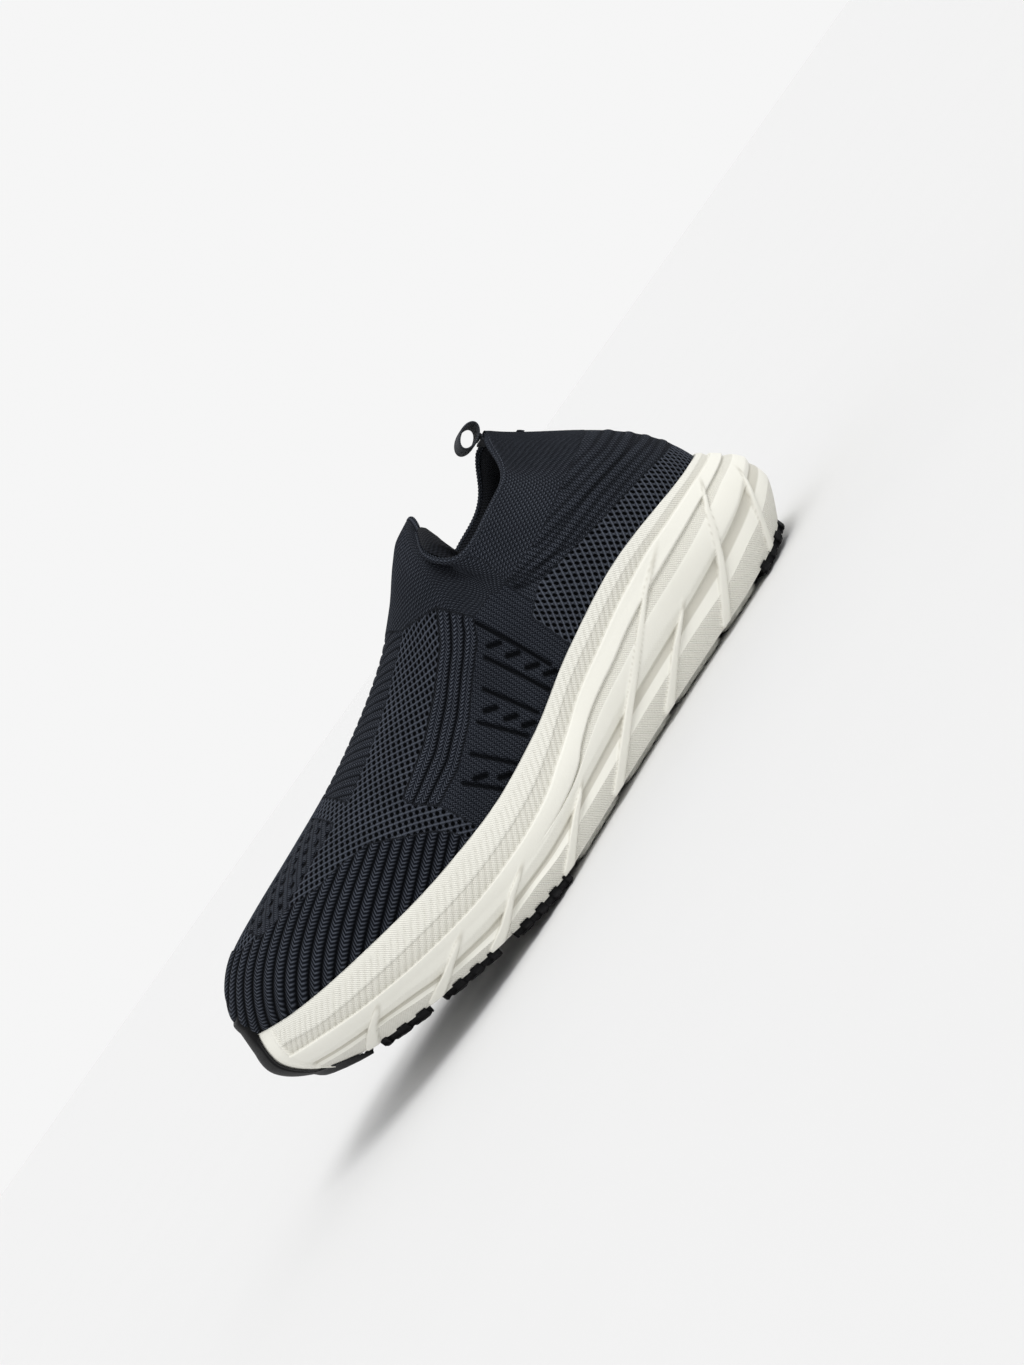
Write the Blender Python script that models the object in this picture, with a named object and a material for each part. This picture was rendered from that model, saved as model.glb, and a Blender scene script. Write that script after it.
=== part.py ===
"""Slip-on knitted running shoe for the left foot, as separate solids.

Frame: +X towards the toe, +Y to the outer side of the foot, +Z up, ground at z = 0, origin under the middle.
The driving values are millimetres: s is the distance forward of the heel's rear, y is across, z is up.
Every layered piece is a patch of one of two grids, the sole's or the upper's, moved along its normals.
A grid has a ring of columns: 0 at the heel, HALF at the toe, outer side first, inner side back again.
"""

import bpy
import numpy as np

MM = 0.001
LENGTH = 298.0
HALF = 44  # columns from the heel to the toe along one side
RING = 2 * HALF
GAP = 0.3  # air between two touching pieces

# Plan outline of the midsole at its widest level: heel, outer side, toe, inner side.
OUTLINE = [
    (0, 0), (9, 27), (38, 42.5), (90, 43), (140, 46.5), (190, 55), (235, 51.5), (270, 33), (291, 8),
    (298, -13), (287, -38), (253, -53.5), (208, -53), (160, -42), (110, -37.5), (55, -42.5), (11, -30),
]
TOE_POINT = 9

# Side profiles of the sole.
GROUND = [(0, 10), (14, 4.6), (24, 2.6), (34, 1.4), (49, 0.4), (60, 0), (180, 0), (200, 1.9), (215, 4.9),
          (230, 8.5), (245, 12.2), (260, 16.2), (272, 19.9), (283, 24.4), (291, 29), (298, 38)]
FEATHER = [(0, 46.5), (30, 47.7), (75, 50.8), (115, 46.5), (150, 40), (178, 38.1), (210, 40.3), (250, 46.5),
           (280, 52.5), (298, 58)]
FLOOR = [(0, 33.5), (75, 34.5), (115, 31.5), (150, 27.5), (178, 26), (210, 27.5), (250, 33.5), (280, 39.5),
         (298, 44)]
BOTTOM_INSET = [(0, 12.5), (20, 8), (50, 5), (200, 4), (250, 5), (280, 7), (298, 9)]
FEATHER_INSET = [(0, 13.5), (15, 9.5), (40, 6), (80, 4.5), (240, 4.5), (280, 5.5), (298, 7)]
CREST = [(0, 0.42), (30, 0.47), (70, 0.55), (298, 0.55)]  # share of the wall's height where it is widest
POD_HEIGHT = 3.0
RIM = 1.6

# Edge of the collar, from the heel's top to the tongue's top, and the ridge from there to the toe.
COLLAR = [(52.5, 0, 118.5), (58.5, 12, 114.6), (65, 20.5, 107.2), (72, 27, 102.6), (85, 32.5, 100.6),
          (101, 35, 98.6), (110.5, 33, 100), (113.8, 27.5, 107.3), (106, 14, 116), (100, 0, 122.3)]
RIDGE = [(100, 122.3), (108, 121.2), (115, 118), (128, 110), (149, 100.1), (176, 92.7), (202, 88.1),
         (228, 85.8), (253, 84), (270, 82), (282, 77), (290, 69), (297, 56)]
RIDGE_END = 282
RIDGE_Y = [(101, 0), (200, -2), (250, -5), (282, -9)]
# Where the column that starts at s on the feather line ends: 0 to 1 on the collar, 1 to 2 on the ridge.
COLUMN_END = [(0, 0), (45, 0.24), (75, 0.45), (100, 0.66), (118, 0.85), (134, 1.0), (175, 1.23), (225, 1.54),
              (262, 1.8), (284, 1.92), (298, 2.0)]
ROWS = 9

KNIT = 1.8  # thickness of the knit


def smooth(points, at):
    """The smooth curve through (place, value) points, level beyond its ends, with no bump between points."""
    x, y = np.array(points, float).T
    secant = np.diff(y) / np.diff(x)
    before, after = secant[:-1], secant[1:]
    same_way = before * after > 0
    mean = 2 * before * after / np.where(same_way, before + after, 1)
    slope = np.concatenate([secant[:1], np.where(same_way, mean, 0), secant[-1:]])
    at = np.clip(at, x[0], x[-1])
    i = np.clip(np.searchsorted(x, at) - 1, 0, len(x) - 2)
    step = x[i + 1] - x[i]
    t = (at - x[i]) / step
    return (
        y[i] * (1 + 2 * t) * (1 - t) ** 2
        + y[i + 1] * (3 - 2 * t) * t**2
        + step * (slope[i] * t * (1 - t) ** 2 - slope[i + 1] * t**2 * (1 - t))
    )


def ramp(distance, width):
    """0 to 1 as a signed distance goes from half a width below nothing to half a width above it."""
    t = np.clip(distance / width + 0.5, 0, 1)
    return t * t * (3 - 2 * t)


def loop_spline(points, steps=24):
    """Dense points round the closed cubic spline through the given ones, and the index of each given one."""
    p = np.array(points, float)
    n = len(p)
    following = np.roll(p, -1, 0)
    h = np.linalg.norm(following - p, axis=1)
    chord = (following - p) / h[:, None]
    a, b = np.zeros((n, n)), np.zeros_like(p)
    for i in range(n):
        a[i, i - 1], a[i, i], a[i, (i + 1) % n] = h[i], 2 * (h[i - 1] + h[i]), h[i - 1]
        b[i] = 3 * (h[i] * chord[i - 1] + h[i - 1] * chord[i])
    slope = np.linalg.solve(a, b)
    t = np.linspace(0, 1, steps, endpoint=False)[:, None]
    out = []
    for i in range(n):
        j = (i + 1) % n
        out.append(
            p[i] * (1 + 2 * t) * (1 - t) ** 2
            + p[j] * (3 - 2 * t) * t**2
            + h[i] * (slope[i] * t * (1 - t) ** 2 - slope[j] * t**2 * (1 - t))
        )
    return np.concatenate(out + [p[:1]]), np.arange(n + 1) * steps


def along(line, shares):
    """Points at the given shares of a polyline's length."""
    step = np.linalg.norm(np.diff(line, axis=0), axis=1)
    run = np.concatenate([[0], np.cumsum(step)]) / step.sum()
    return np.stack([np.interp(shares, run, line[:, k]) for k in range(line.shape[1])], axis=1)


def plan_ring():
    """The outline's points, one for each column, and the outward normal at each."""
    line, knots = loop_spline(OUTLINE)
    toe = knots[TOE_POINT]
    shares = np.linspace(0, 1, HALF + 1)
    outer = along(line[: toe + 1], shares)
    inner = along(line[toe:], shares)
    ring = np.concatenate([outer[:-1], inner[:-1]])
    run = np.roll(ring, -1, 0) - np.roll(ring, 1, 0)
    run /= np.linalg.norm(run, axis=1)[:, None]
    return ring, np.stack([-run[:, 1], run[:, 0]], axis=1)


PLAN, OUTWARD = plan_ring()
PARTNER = (RING - np.arange(RING)) % RING
MIDDLE_Y = (PLAN[:, 1].max() + PLAN[:, 1].min()) / 2


def ring_at(inset, z):
    """One ring of points: the outline drawn in by inset, at height z."""
    plan = PLAN - OUTWARD * np.reshape(inset, (-1, 1))
    return np.column_stack([plan, np.broadcast_to(z, RING)])


def on_floor(inset, lift):
    """One ring of points a little above the cup's floor."""
    ring = ring_at(inset, 0)
    ring[:, 2] = smooth(FLOOR, ring[:, 0]) + lift
    return ring


def under(s):
    """Height of the midsole's underside."""
    return smooth(GROUND, s) + POD_HEIGHT


def pod_top(s):
    """Height of an outsole pod's upper face, just clear of the midsole."""
    return under(s) - GAP


def ground(s):
    """Height of the outsole's underside."""
    return smooth(GROUND, s)


def side_inset(level):
    """How far the side wall stands in from the widest outline at a level from 0, bottom, to 1, feather line."""
    s = PLAN[:, 0]
    crest = smooth(CREST, s)
    below = np.clip(1 - level / crest, 0, 1) ** 1.8
    above = np.clip((level - crest) / (1 - crest), 0, 1) ** 1.8
    return smooth(BOTTOM_INSET, s) * below + (smooth(FEATHER_INSET, s) - RIM) * above


def bumper_reach():
    """For each column, the level that the toe bumper climbs to, and 0 where there is no bumper."""
    from_toe = np.abs(np.arange(RING) - HALF)
    return np.interp(from_toe, [0, BUMPER_COLUMNS, 3, 4, 5], [1.0, 1.0, 0.6, 0.3, 0.0])


WALL_LEVELS = [0.0, 0.12, 0.28, 0.42, 0.55, 0.7, 0.85, 1.0]
BUMPER = 2.8
BUMPER_COLUMNS = 2  # columns each side of the toe where the bumper climbs onto the knit
TREAD_COLUMNS = 5  # columns each side of the toe under which its tread lies
UNDER_SHARES = [0.5, 0.25]


def sole_rings():
    """Rings of the midsole, from inside its underside, round the edge and up the wall, into the foot's cup."""
    edge = ring_at(smooth(BOTTOM_INSET, PLAN[:, 0]), 0)
    edge[:, 2] = under(edge[:, 0])
    target = (edge + edge[PARTNER]) / 2
    target[:, 0] = np.clip(target[:, 0], 34, 262)
    rings = []
    for share in UNDER_SHARES:
        ring = edge + (target - edge) * share
        ring[:, 2] = under(ring[:, 0])
        rings.append(ring)
    feather = smooth(FEATHER, PLAN[:, 0])
    reach = bumper_reach()
    for level in WALL_LEVELS:
        recess = BUMPER * (reach > 0) * (level <= reach + 0.16)
        z = edge[:, 2] + (feather - edge[:, 2]) * level
        rings.append(ring_at(side_inset(level) + recess, z))
    cup = smooth(FEATHER_INSET, PLAN[:, 0]) - GAP - 0.1
    toe_cut = BUMPER * (reach > 0.9)
    rings[-1] = ring_at(np.minimum(side_inset(1.0) + toe_cut * 0.35, cup - 0.5), feather)
    rings.append(ring_at(cup, feather - 0.4))
    rings.append(on_floor(cup, 0))
    return np.array(rings)


def ring_quads(rows):
    """Quads between successive rings; ring r has points r * RING to r * RING + RING - 1."""
    quads = []
    for r in range(rows - 1):
        for c in range(RING):
            n = (c + 1) % RING
            quads.append((r * RING + c, r * RING + n, (r + 1) * RING + n, (r + 1) * RING + c))
    return quads


def ladder(first, up):
    """Faces across one ring, from each column to its partner."""
    faces = []
    for c in range(HALF):
        loop = [c, c + 1, RING - c - 1, (RING - c) % RING]
        loop = [first + k for k in dict.fromkeys(loop)]
        faces.append(tuple(reversed(loop)) if up else tuple(loop))
    return faces


def point_normals(points, faces):
    """Unit normals at the points, from the faces round each."""
    normal = np.zeros_like(points)
    for face in faces:
        corner = points[list(face)]
        if len(face) == 4:
            across = np.cross(corner[2] - corner[0], corner[3] - corner[1])
        else:
            across = np.cross(corner[1] - corner[0], corner[2] - corner[0])
        normal[list(face)] += across
    size = np.linalg.norm(normal, axis=1)
    size[size == 0] = 1
    return normal / size[:, None]


def eased(normals, rows):
    """The grid's normals, each averaged with its neighbours' along the ring, so that tight corners don't fold."""
    grid = normals.reshape(rows, RING, 3)
    mean = grid + (np.roll(grid, 1, 1) + np.roll(grid, -1, 1)) / 2
    mean = mean.reshape(-1, 3)
    size = np.linalg.norm(mean, axis=1)
    size[size == 0] = 1
    return mean / size[:, None]


def material(name, colour, roughness, metallic=0.0):
    """A Principled material with one colour."""
    made = bpy.data.materials.new(name)
    made.use_nodes = True
    shader = made.node_tree.nodes["Principled BSDF"]
    shader.inputs["Base Color"].default_value = (*colour, 1)
    shader.inputs["Roughness"].default_value = roughness
    shader.inputs["Metallic"].default_value = metallic
    return made


def halves(faces):
    """Each quad as two triangles that meet on the diagonal through its first point in the grid's order."""
    out = []
    for face in faces:
        k = face.index(min(face))
        turned = face[k:] + face[:k]
        out += [turned[:3]] + ([(turned[0], turned[2], turned[3])] if len(face) == 4 else [])
    return out


def place_in_frame(points):
    """Points given as (s, y, z) in millimetres, in the object's own frame in metres."""
    return (np.array(points) - [LENGTH / 2, MIDDLE_Y, 0]) * MM


def add_object(name, points, faces, look, origin=None):
    """A mesh object from points in millimetres. A moving piece's origin is a point on its joint's axis."""
    pivot = np.zeros(3) if origin is None else place_in_frame(origin)
    points = place_in_frame(points) - pivot
    mesh = bpy.data.meshes.new(name)
    mesh.from_pydata([tuple(p) for p in points], [], faces)
    mesh.update()
    mesh.shade_smooth()
    mesh.set_sharp_from_angle(angle=0.7)
    mesh.materials.append(look)
    made = bpy.data.objects.new(name, mesh)
    made.location = pivot
    bpy.context.scene.collection.objects.link(made)
    return made


def layer(name, points, normals, faces, outer, inner, look):
    """A closed solid between two offsets, along the normals, of a patch of faces."""
    faces = halves(faces)
    used = sorted({k for face in faces for k in face})
    place = {k: i for i, k in enumerate(used)}
    top = [tuple(place[k] for k in face) for face in faces]
    count = len(used)
    edges = {}
    for face in top:
        for a, b in zip(face, face[1:] + face[:1]):
            edges[(a, b)] = edges.get((a, b), 0) + 1
    solid = list(top)
    solid += [tuple(count + k for k in reversed(face)) for face in top]
    solid += [(b, a, a + count, b + count) for a, b in edges if (b, a) not in edges]
    base, out = points[used], normals[used]
    outer = np.broadcast_to(outer, len(points))[used][:, None]
    inner = np.broadcast_to(inner, len(points))[used][:, None]
    return add_object(name, np.concatenate([base + out * outer, base + out * inner]), solid, look)


def slab(name, corner, top, bottom, cells, chamfer, look):
    """A plate over a grid: corner(a, b) gives (s, y), top and bottom are heights as functions of s."""
    across, deep = cells
    a, b = np.meshgrid(np.linspace(0, 1, across + 1), np.linspace(0, 1, deep + 1), indexing="ij")
    plan = np.stack(corner(a, b), axis=-1).reshape(-1, 2)
    foot = plan + (plan.mean(axis=0) - plan) * chamfer
    upper = np.column_stack([plan, top(plan[:, 0])])
    lower = np.column_stack([foot, bottom(foot[:, 0])])
    row, count = deep + 1, len(plan)
    faces = []
    for i in range(across):
        for j in range(deep):
            k = i * row + j
            cell = (k, k + row, k + row + 1, k + 1)
            faces += [cell, tuple(count + n for n in reversed(cell))]
    rim = [i * row for i in range(across)] + [across * row + j for j in range(deep)]
    rim += [i * row + deep for i in range(across, 0, -1)] + [j for j in range(deep, 0, -1)]
    for k, n in zip(rim, rim[1:] + rim[:1]):
        faces.append((n, k, k + count, n + count))
    points = np.concatenate([upper, lower])
    if face_up(points, faces[0]) < 0:
        faces = [tuple(reversed(face)) for face in faces]
    return add_object(name, points, faces, look)


def face_up(points, face):
    """The upward part of a face's normal."""
    p = points[list(face)]
    return np.cross(p[1] - p[0], p[2] - p[0])[2]


def build_midsole():
    """The one-piece foam midsole with the cup that the foot sits in."""
    rings = sole_rings()
    points = rings.reshape(-1, 3)
    last = (len(rings) - 1) * RING
    faces = [tuple(reversed(q)) for q in ring_quads(len(rings))]
    faces += ladder(0, up=False) + ladder(last, up=True)
    add_object("midsole", points, halves(faces), material("foam", (0.86, 0.86, 0.81), 0.75))
    return points


def build_toe_rubber(sole, upper):
    """The toe's tread and the bumper that climbs its front, as one moulding over the recessed midsole."""
    points = np.concatenate([sole, upper])
    reach = bumper_reach()
    first_wall = len(UNDER_SHARES)
    top_ring = first_wall + len(WALL_LEVELS) - 1
    chosen = [face for face in ladder(0, up=False) if max(k % RING for k in face) <= HALF + TREAD_COLUMNS]
    chosen = [face for face in chosen if min(k % RING for k in face) >= HALF - TREAD_COLUMNS]
    for c in range(HALF - TREAD_COLUMNS, HALF + TREAD_COLUMNS):
        for r in range(top_ring):
            wall_top = WALL_LEVELS[r + 1 - first_wall] if r >= first_wall else 0
            if min(reach[c], reach[c + 1]) >= wall_top:
                a = r * RING + c
                chosen.append((a + RING, a + RING + 1, a + 1, a))
    for c in range(HALF - BUMPER_COLUMNS, HALF + BUMPER_COLUMNS):
        rings = [top_ring * RING, len(sole) + 2 * RING, len(sole) + 3 * RING]
        chosen += [(b + c, b + c + 1, a + c + 1, a + c) for a, b in zip(rings, rings[1:])]
    normals = point_normals(points, chosen)
    layer("toe_rubber", points, normals, chosen, BUMPER - 0.1, GAP, material("rubber_toe", RUBBER, 0.55))


RUBBER = (0.018, 0.018, 0.02)
PODS = {  # name: (rear s, front s, skew of the inner end, colour)
    "heel_rubber": (20, 45.5, -2, "black"),
    "midfoot_pod_1": (48, 71, -3, "white"),
    "midfoot_pod_2": (74, 104.5, -4, "white"),
    "midfoot_pod_3": (109, 142, -5, "white"),
    "midfoot_pod_4": (147, 177, -6, "white"),
    "forefoot_pod_1": (185, 214, -7, "black"),
    "forefoot_pod_2": (221, 245, -7, "black"),
    "forefoot_pod_3": (250, 269, -4, "black"),
}
CHANNEL = 5.0  # half-width of the groove between the two rows of pods
POD_EDGE = {"black": 1.0, "white": 6.0}  # how far a pod stands in from the midsole's bottom edge


def edge_line(side, inset):
    """A line inside the midsole's bottom edge on one side, heel to toe. side is 1 outside, -1 inside."""
    edge = PLAN - OUTWARD * (smooth(BOTTOM_INSET, PLAN[:, 0]) + inset)[:, None]
    columns = range(1, HALF) if side > 0 else range(RING - 1, HALF, -1)
    return edge[list(columns)]


def build_pods():
    """The separate outsole pods: two rows, one each side of a channel, each cut off at a slant."""
    looks = {
        "black": material("rubber_pod", RUBBER, 0.6),
        "white": material("rubber_white", (0.80, 0.80, 0.76), 0.6),
    }
    for name, (rear, front, skew, colour) in PODS.items():
        for word, side in (("outer", 1), ("inner", -1)):
            line = edge_line(side, POD_EDGE[colour])

            def corner(a, b, line=line, side=side, rear=rear, front=front, skew=skew):
                s = rear + (front - rear) * a + skew * b
                out = np.interp(rear + (front - rear) * a, line[:, 0], line[:, 1])
                middle = -0.5 + side * CHANNEL
                return s, out + (middle - out) * b

            slab(f"{name}_{word}", corner, pod_top, ground, (5, 3), 0.03, looks[colour])


def upper_ends():
    """For each column, where it ends on the collar or the ridge, and that end's place from 0 to 2."""
    mean_s = (PLAN[:, 0] + PLAN[PARTNER, 0]) / 2
    place = smooth(COLUMN_END, mean_s)
    place[[c for c in range(RING) if abs(place[c] - 1) < 0.012]] = 1.0
    mirrored = [(s, -y, z) for s, y, z in COLLAR[-2:0:-1]]
    collar, knots = loop_spline(COLLAR + mirrored)
    collar = collar[: knots[len(COLLAR) - 1] + 1]
    ridge_s = np.linspace(RIDGE[0][0], RIDGE_END, 200)
    ridge = np.column_stack([ridge_s, smooth(RIDGE_Y, ridge_s), smooth(RIDGE, ridge_s)])
    ends = np.where(place[:, None] < 1, along(collar, np.clip(place, 0, 1)), along(ridge, np.clip(place - 1, 0, 1)))
    inner_side = np.arange(RING) > HALF
    ends[inner_side & (place < 1), 1] *= -1
    return ends, place


def upper_grid():
    """Points of the upper's outer face: rings from the cup's floor to the collar and ridge, which are shared."""
    ends, place = upper_ends()
    inset = smooth(FEATHER_INSET, PLAN[:, 0])
    start = ring_at(inset, smooth(FEATHER, PLAN[:, 0]) - 0.5)
    foot = on_floor(inset, GAP)
    rise = (ends[:, 2] - start[:, 2])[:, None]
    back = start - ends
    back[:, 2] = 0
    up = np.array([0, 0, 1.0])
    out = np.column_stack([OUTWARD, np.zeros(RING)])
    bulge = np.interp(place, [0, 0.3, 1, 1.5, 2], [-1.0, 2.0, 1.0, 5.0, 3.0])[:, None]
    first = start + up * rise * 0.42 + out * bulge
    on_collar = ends + back * 0.30 - up * rise * 0.3
    on_ridge = ends + back * np.interp(place, [1, 1.3, 1.7, 2], [0.45, 0.5, 0.62, 0.6])[:, None]
    on_ridge[:, 2] = smooth(RIDGE, on_ridge[:, 0])
    below_edge = np.minimum(on_ridge[:, 2], ends[:, 2] - 2)
    on_ridge[:, 2] = np.where(place < 1, below_edge, on_ridge[:, 2])
    blend = ramp(place - 0.91, 0.18)[:, None]
    second = on_collar + (on_ridge - on_collar) * blend
    rings = [foot]
    for t in np.linspace(0, 1, ROWS):
        rings.append(start * (1 - t) ** 3 + first * 3 * t * (1 - t) ** 2 + second * 3 * t**2 * (1 - t) + ends * t**3)
    return np.array(rings), place


def upper_faces(rows, place):
    """Quads of the upper's grid, with the ridge's points shared by the two sides."""
    shared = {}
    last = (rows - 1) * RING
    for c in range(HALF + 1, RING):
        if place[c] >= 1:
            shared[last + c] = last + PARTNER[c]
    faces = []
    for quad in ring_quads(rows):
        loop = [shared.get(k, k) for k in quad]
        faces.append(tuple(reversed(list(dict.fromkeys(loop)))))
    return faces


def patch(faces, rows, columns):
    """The grid's quads whose row and column (counted from the heel, either side) are in the given ranges."""
    chosen = []
    for index, face in enumerate(faces):
        row, c = divmod(index, RING)
        from_heel = min(c, RING - 1 - c)
        if row in rows and from_heel in columns:
            chosen.append(face)
    return chosen


def side_patch(faces, rows, columns, side):
    """The same on one side only."""
    chosen = []
    for index, face in enumerate(faces):
        row, c = divmod(index, RING)
        if row in rows and c in (columns if side > 0 else {RING - 1 - k for k in columns}):
            chosen.append(face)
    return chosen


TAB_WIDTH = 11.0
TAIL_DEPTH = 4.5  # how far inside the knit's face the tail lies
TAIL_DROP = 3.1  # from the rim down to the tail's middle
TAIL_LENGTH = 9.0
COUNTER = (2.1, 3.5)
FOAM = (2.1, 5.2)
PUFF = (2.1, 3.1)
LINING = (5.5, 6.3)
VAMP_LINING = (3.4, 4.1)
COUNTER_ROWS, COUNTER_REACH = range(1, 6), 12  # rows of the upper's grid, and columns each side of the heel
PAD_ROWS, PAD_START, PAD_STOP = range(7, ROWS - 1), 5, 6  # columns from the heel and short of the ridge
LINING_STOP = 5
PUFF_REACH = 9  # columns each side of the toe


def build_upper():
    """The knit, its stiffeners, collar pads and linings."""
    rings, place = upper_grid()
    points = rings.reshape(-1, 3)
    rows = len(rings)
    faces = upper_faces(rows, place)
    normals = eased(point_normals(points, faces), rows)
    below_top = range(1, rows - 1)
    front = int(np.argmax(place[: HALF + 1] >= 1))  # first column that ends on the ridge
    knit = material("knit", (0.03, 0.036, 0.05), 0.9)
    mesh_look = material("lining", (0.012, 0.013, 0.017), 0.9)
    stiff = material("stiffener", (0.75, 0.74, 0.7), 0.6)
    pad = material("collar_foam", (0.55, 0.53, 0.45), 0.9)
    layer("knit_upper", points, normals, faces, 0, -KNIT, knit)
    counter = patch(faces, COUNTER_ROWS, range(0, COUNTER_REACH))
    layer("heel_counter", points, normals, counter, -COUNTER[0], -COUNTER[1], stiff)
    puff = patch(faces, below_top, range(HALF - PUFF_REACH, HALF))
    layer("toe_puff", points, normals, puff, -PUFF[0], -PUFF[1], stiff)
    for word, side in (("outer", 1), ("inner", -1)):
        foam = side_patch(faces, PAD_ROWS, range(PAD_START, front - PAD_STOP), side)
        layer(f"collar_foam_{word}", points, normals, foam, -FOAM[0], -FOAM[1], pad)
    lining = patch(faces, below_top[:-1], range(0, front - LINING_STOP))
    layer("quarter_lining", points, normals, lining, -LINING[0], -LINING[1], mesh_look)
    vamp = patch(faces, below_top, range(front, HALF))
    layer("vamp_lining", points, normals, vamp, -VAMP_LINING[0], -VAMP_LINING[1], mesh_look)
    build_heel_stitching(rings[:, 0])
    return points


def bar(name, middle, along_heel, size, look):
    """A small box: size is its thickness, its width across the heel and its height along the heel's slope."""
    across = np.array([0, 1.0, 0])
    out = np.cross(across, along_heel)
    half = [np.outer([-s / 2, s / 2], axis) for s, axis in zip(size, (out, across, along_heel))]
    points = [middle + a + b + c for a in half[0] for b in half[1] for c in half[2]]
    faces = [(0, 1, 3, 2), (4, 6, 7, 5), (0, 4, 5, 1), (2, 3, 7, 6), (0, 2, 6, 4), (1, 5, 7, 3)]
    return add_object(name, points, faces, look)


def build_heel_stitching(heel):
    """The pull tab's tail, sewn between knit and lining, and the bar of thread on the outside of the heel."""
    look = material("webbing_tail", (0.02, 0.022, 0.027), 0.85)
    thread = material("thread", (0.03, 0.032, 0.038), 0.8)
    up = heel[-1] - heel[-2]
    up /= np.linalg.norm(up)
    inward = np.array([up[2], 0, -up[0]])
    tail = heel[-1] + inward * TAIL_DEPTH - up * TAIL_DROP
    bar("pull_tab_tail", tail, up, (0.9, TAB_WIDTH, TAIL_LENGTH), look)
    slope = heel[-2] - heel[-3]
    slope /= np.linalg.norm(slope)
    outward = np.array([-slope[2], 0, slope[0]])
    middle = (heel[-2] + heel[-3]) / 2 + outward * (GAP + 0.6)
    bar("heel_bartack", middle, slope, (0.7, 6.0, 3.0), thread)


def plate(name, inset, low, high, look, origin=None):
    """A plate on the cup's floor: the feather outline drawn in, between two heights above the floor."""
    inset = smooth(FEATHER_INSET, PLAN[:, 0]) + inset
    lower, upper = on_floor(inset, low), on_floor(inset, high)
    faces = [tuple(reversed(q)) for q in ring_quads(2)]
    faces += ladder(0, up=False) + ladder(RING, up=True)
    return add_object(name, np.concatenate([lower, upper]), faces, look, origin)


def build_seam():
    """The thread that joins the strobel board's edge to the foot of the knit, as one ring."""
    inset = smooth(FEATHER_INSET, PLAN[:, 0])
    rings = [on_floor(inset + i, lift) for i, lift in ((2.1, 0.3), (2.1, 1.6), (2.7, 1.6), (2.7, 0.3))]
    faces = [tuple(k % (4 * RING) for k in q) for q in ring_quads(5)]
    faces = [tuple(reversed(q)) for q in faces]
    add_object("strobel_seam", np.concatenate(rings), faces, material("seam", (0.03, 0.032, 0.038), 0.8))


SOCKLINER_INSET = 9.5
SOCKLINER_PIVOT = (284, -9, 44)  # the toe end, about which the heel end lifts


def build_footbed():
    """The strobel board sewn to the upper, and the removable sockliner of foam with its cloth cover."""
    plate("strobel_board", 3.0, 0.3, 1.6, material("board", (0.03, 0.031, 0.035), 0.9))
    foam = material("sockliner_foam", (0.10, 0.11, 0.13), 0.9)
    cloth = material("sockliner_cloth", (0.02, 0.022, 0.028), 0.95)
    plate("sockliner_foam", SOCKLINER_INSET, 1.9, 5.9, foam, SOCKLINER_PIVOT)
    plate("sockliner_cover", SOCKLINER_INSET, 6.2, 7.0, cloth, SOCKLINER_PIVOT)


TAB_CENTRE = (59.0, 121.9)
TAB_RADII = (6.3, 3.9)
TAB_TILT = -0.2
TAB_PIVOT = (56.1, 0, 119.3)  # where the loop leaves the rim
WEBBING = 1.1


def build_pull_tab():
    """The webbing loop at the heel's top: a flat ring, wide across the foot, leaning over the opening."""
    sides = 28
    angle = np.linspace(0, 2 * np.pi, sides, endpoint=False)
    points = []
    for y in (-TAB_WIDTH / 2, TAB_WIDTH / 2):
        for shrink in (0.0, WEBBING):
            x = (TAB_RADII[0] - shrink) * np.cos(angle)
            z = (TAB_RADII[1] - shrink) * np.sin(angle)
            s = TAB_CENTRE[0] + x * np.cos(TAB_TILT) - z * np.sin(TAB_TILT)
            h = TAB_CENTRE[1] + x * np.sin(TAB_TILT) + z * np.cos(TAB_TILT)
            points.append(np.column_stack([s, np.full(sides, y), h]))
    faces = []
    for k in range(sides):
        n = (k + 1) % sides
        outer, inner, far, hole = (g * sides for g in range(4))
        faces.append((outer + k, outer + n, inner + n, inner + k))
        faces.append((far + n, far + k, hole + k, hole + n))
        faces.append((outer + n, outer + k, far + k, far + n))
        faces.append((inner + k, inner + n, hole + n, hole + k))
    points = np.concatenate(points)
    add_object("pull_tab", points, faces, material("webbing", (0.02, 0.022, 0.027), 0.85), TAB_PIVOT)


def main():
    for old in list(bpy.data.objects):
        bpy.data.objects.remove(old)
    sole = build_midsole()
    upper = build_upper()
    build_toe_rubber(sole, upper)
    build_pods()
    build_seam()
    build_footbed()
    build_pull_tab()


main()
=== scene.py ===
"""Looks of the slip-on knitted running shoe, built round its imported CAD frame.

Shapes are worked out in millimetres: s is the distance forward of the heel's rear, y is across, z is up.
The sole and the upper are the CAD part's own two grids, made again with many more rows and columns.
A ring of columns starts at the heel, runs along the outer side to the toe, and back along the inner side.
"""

import math

import bpy
import numpy as np
from mathutils import Matrix, Vector


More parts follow.
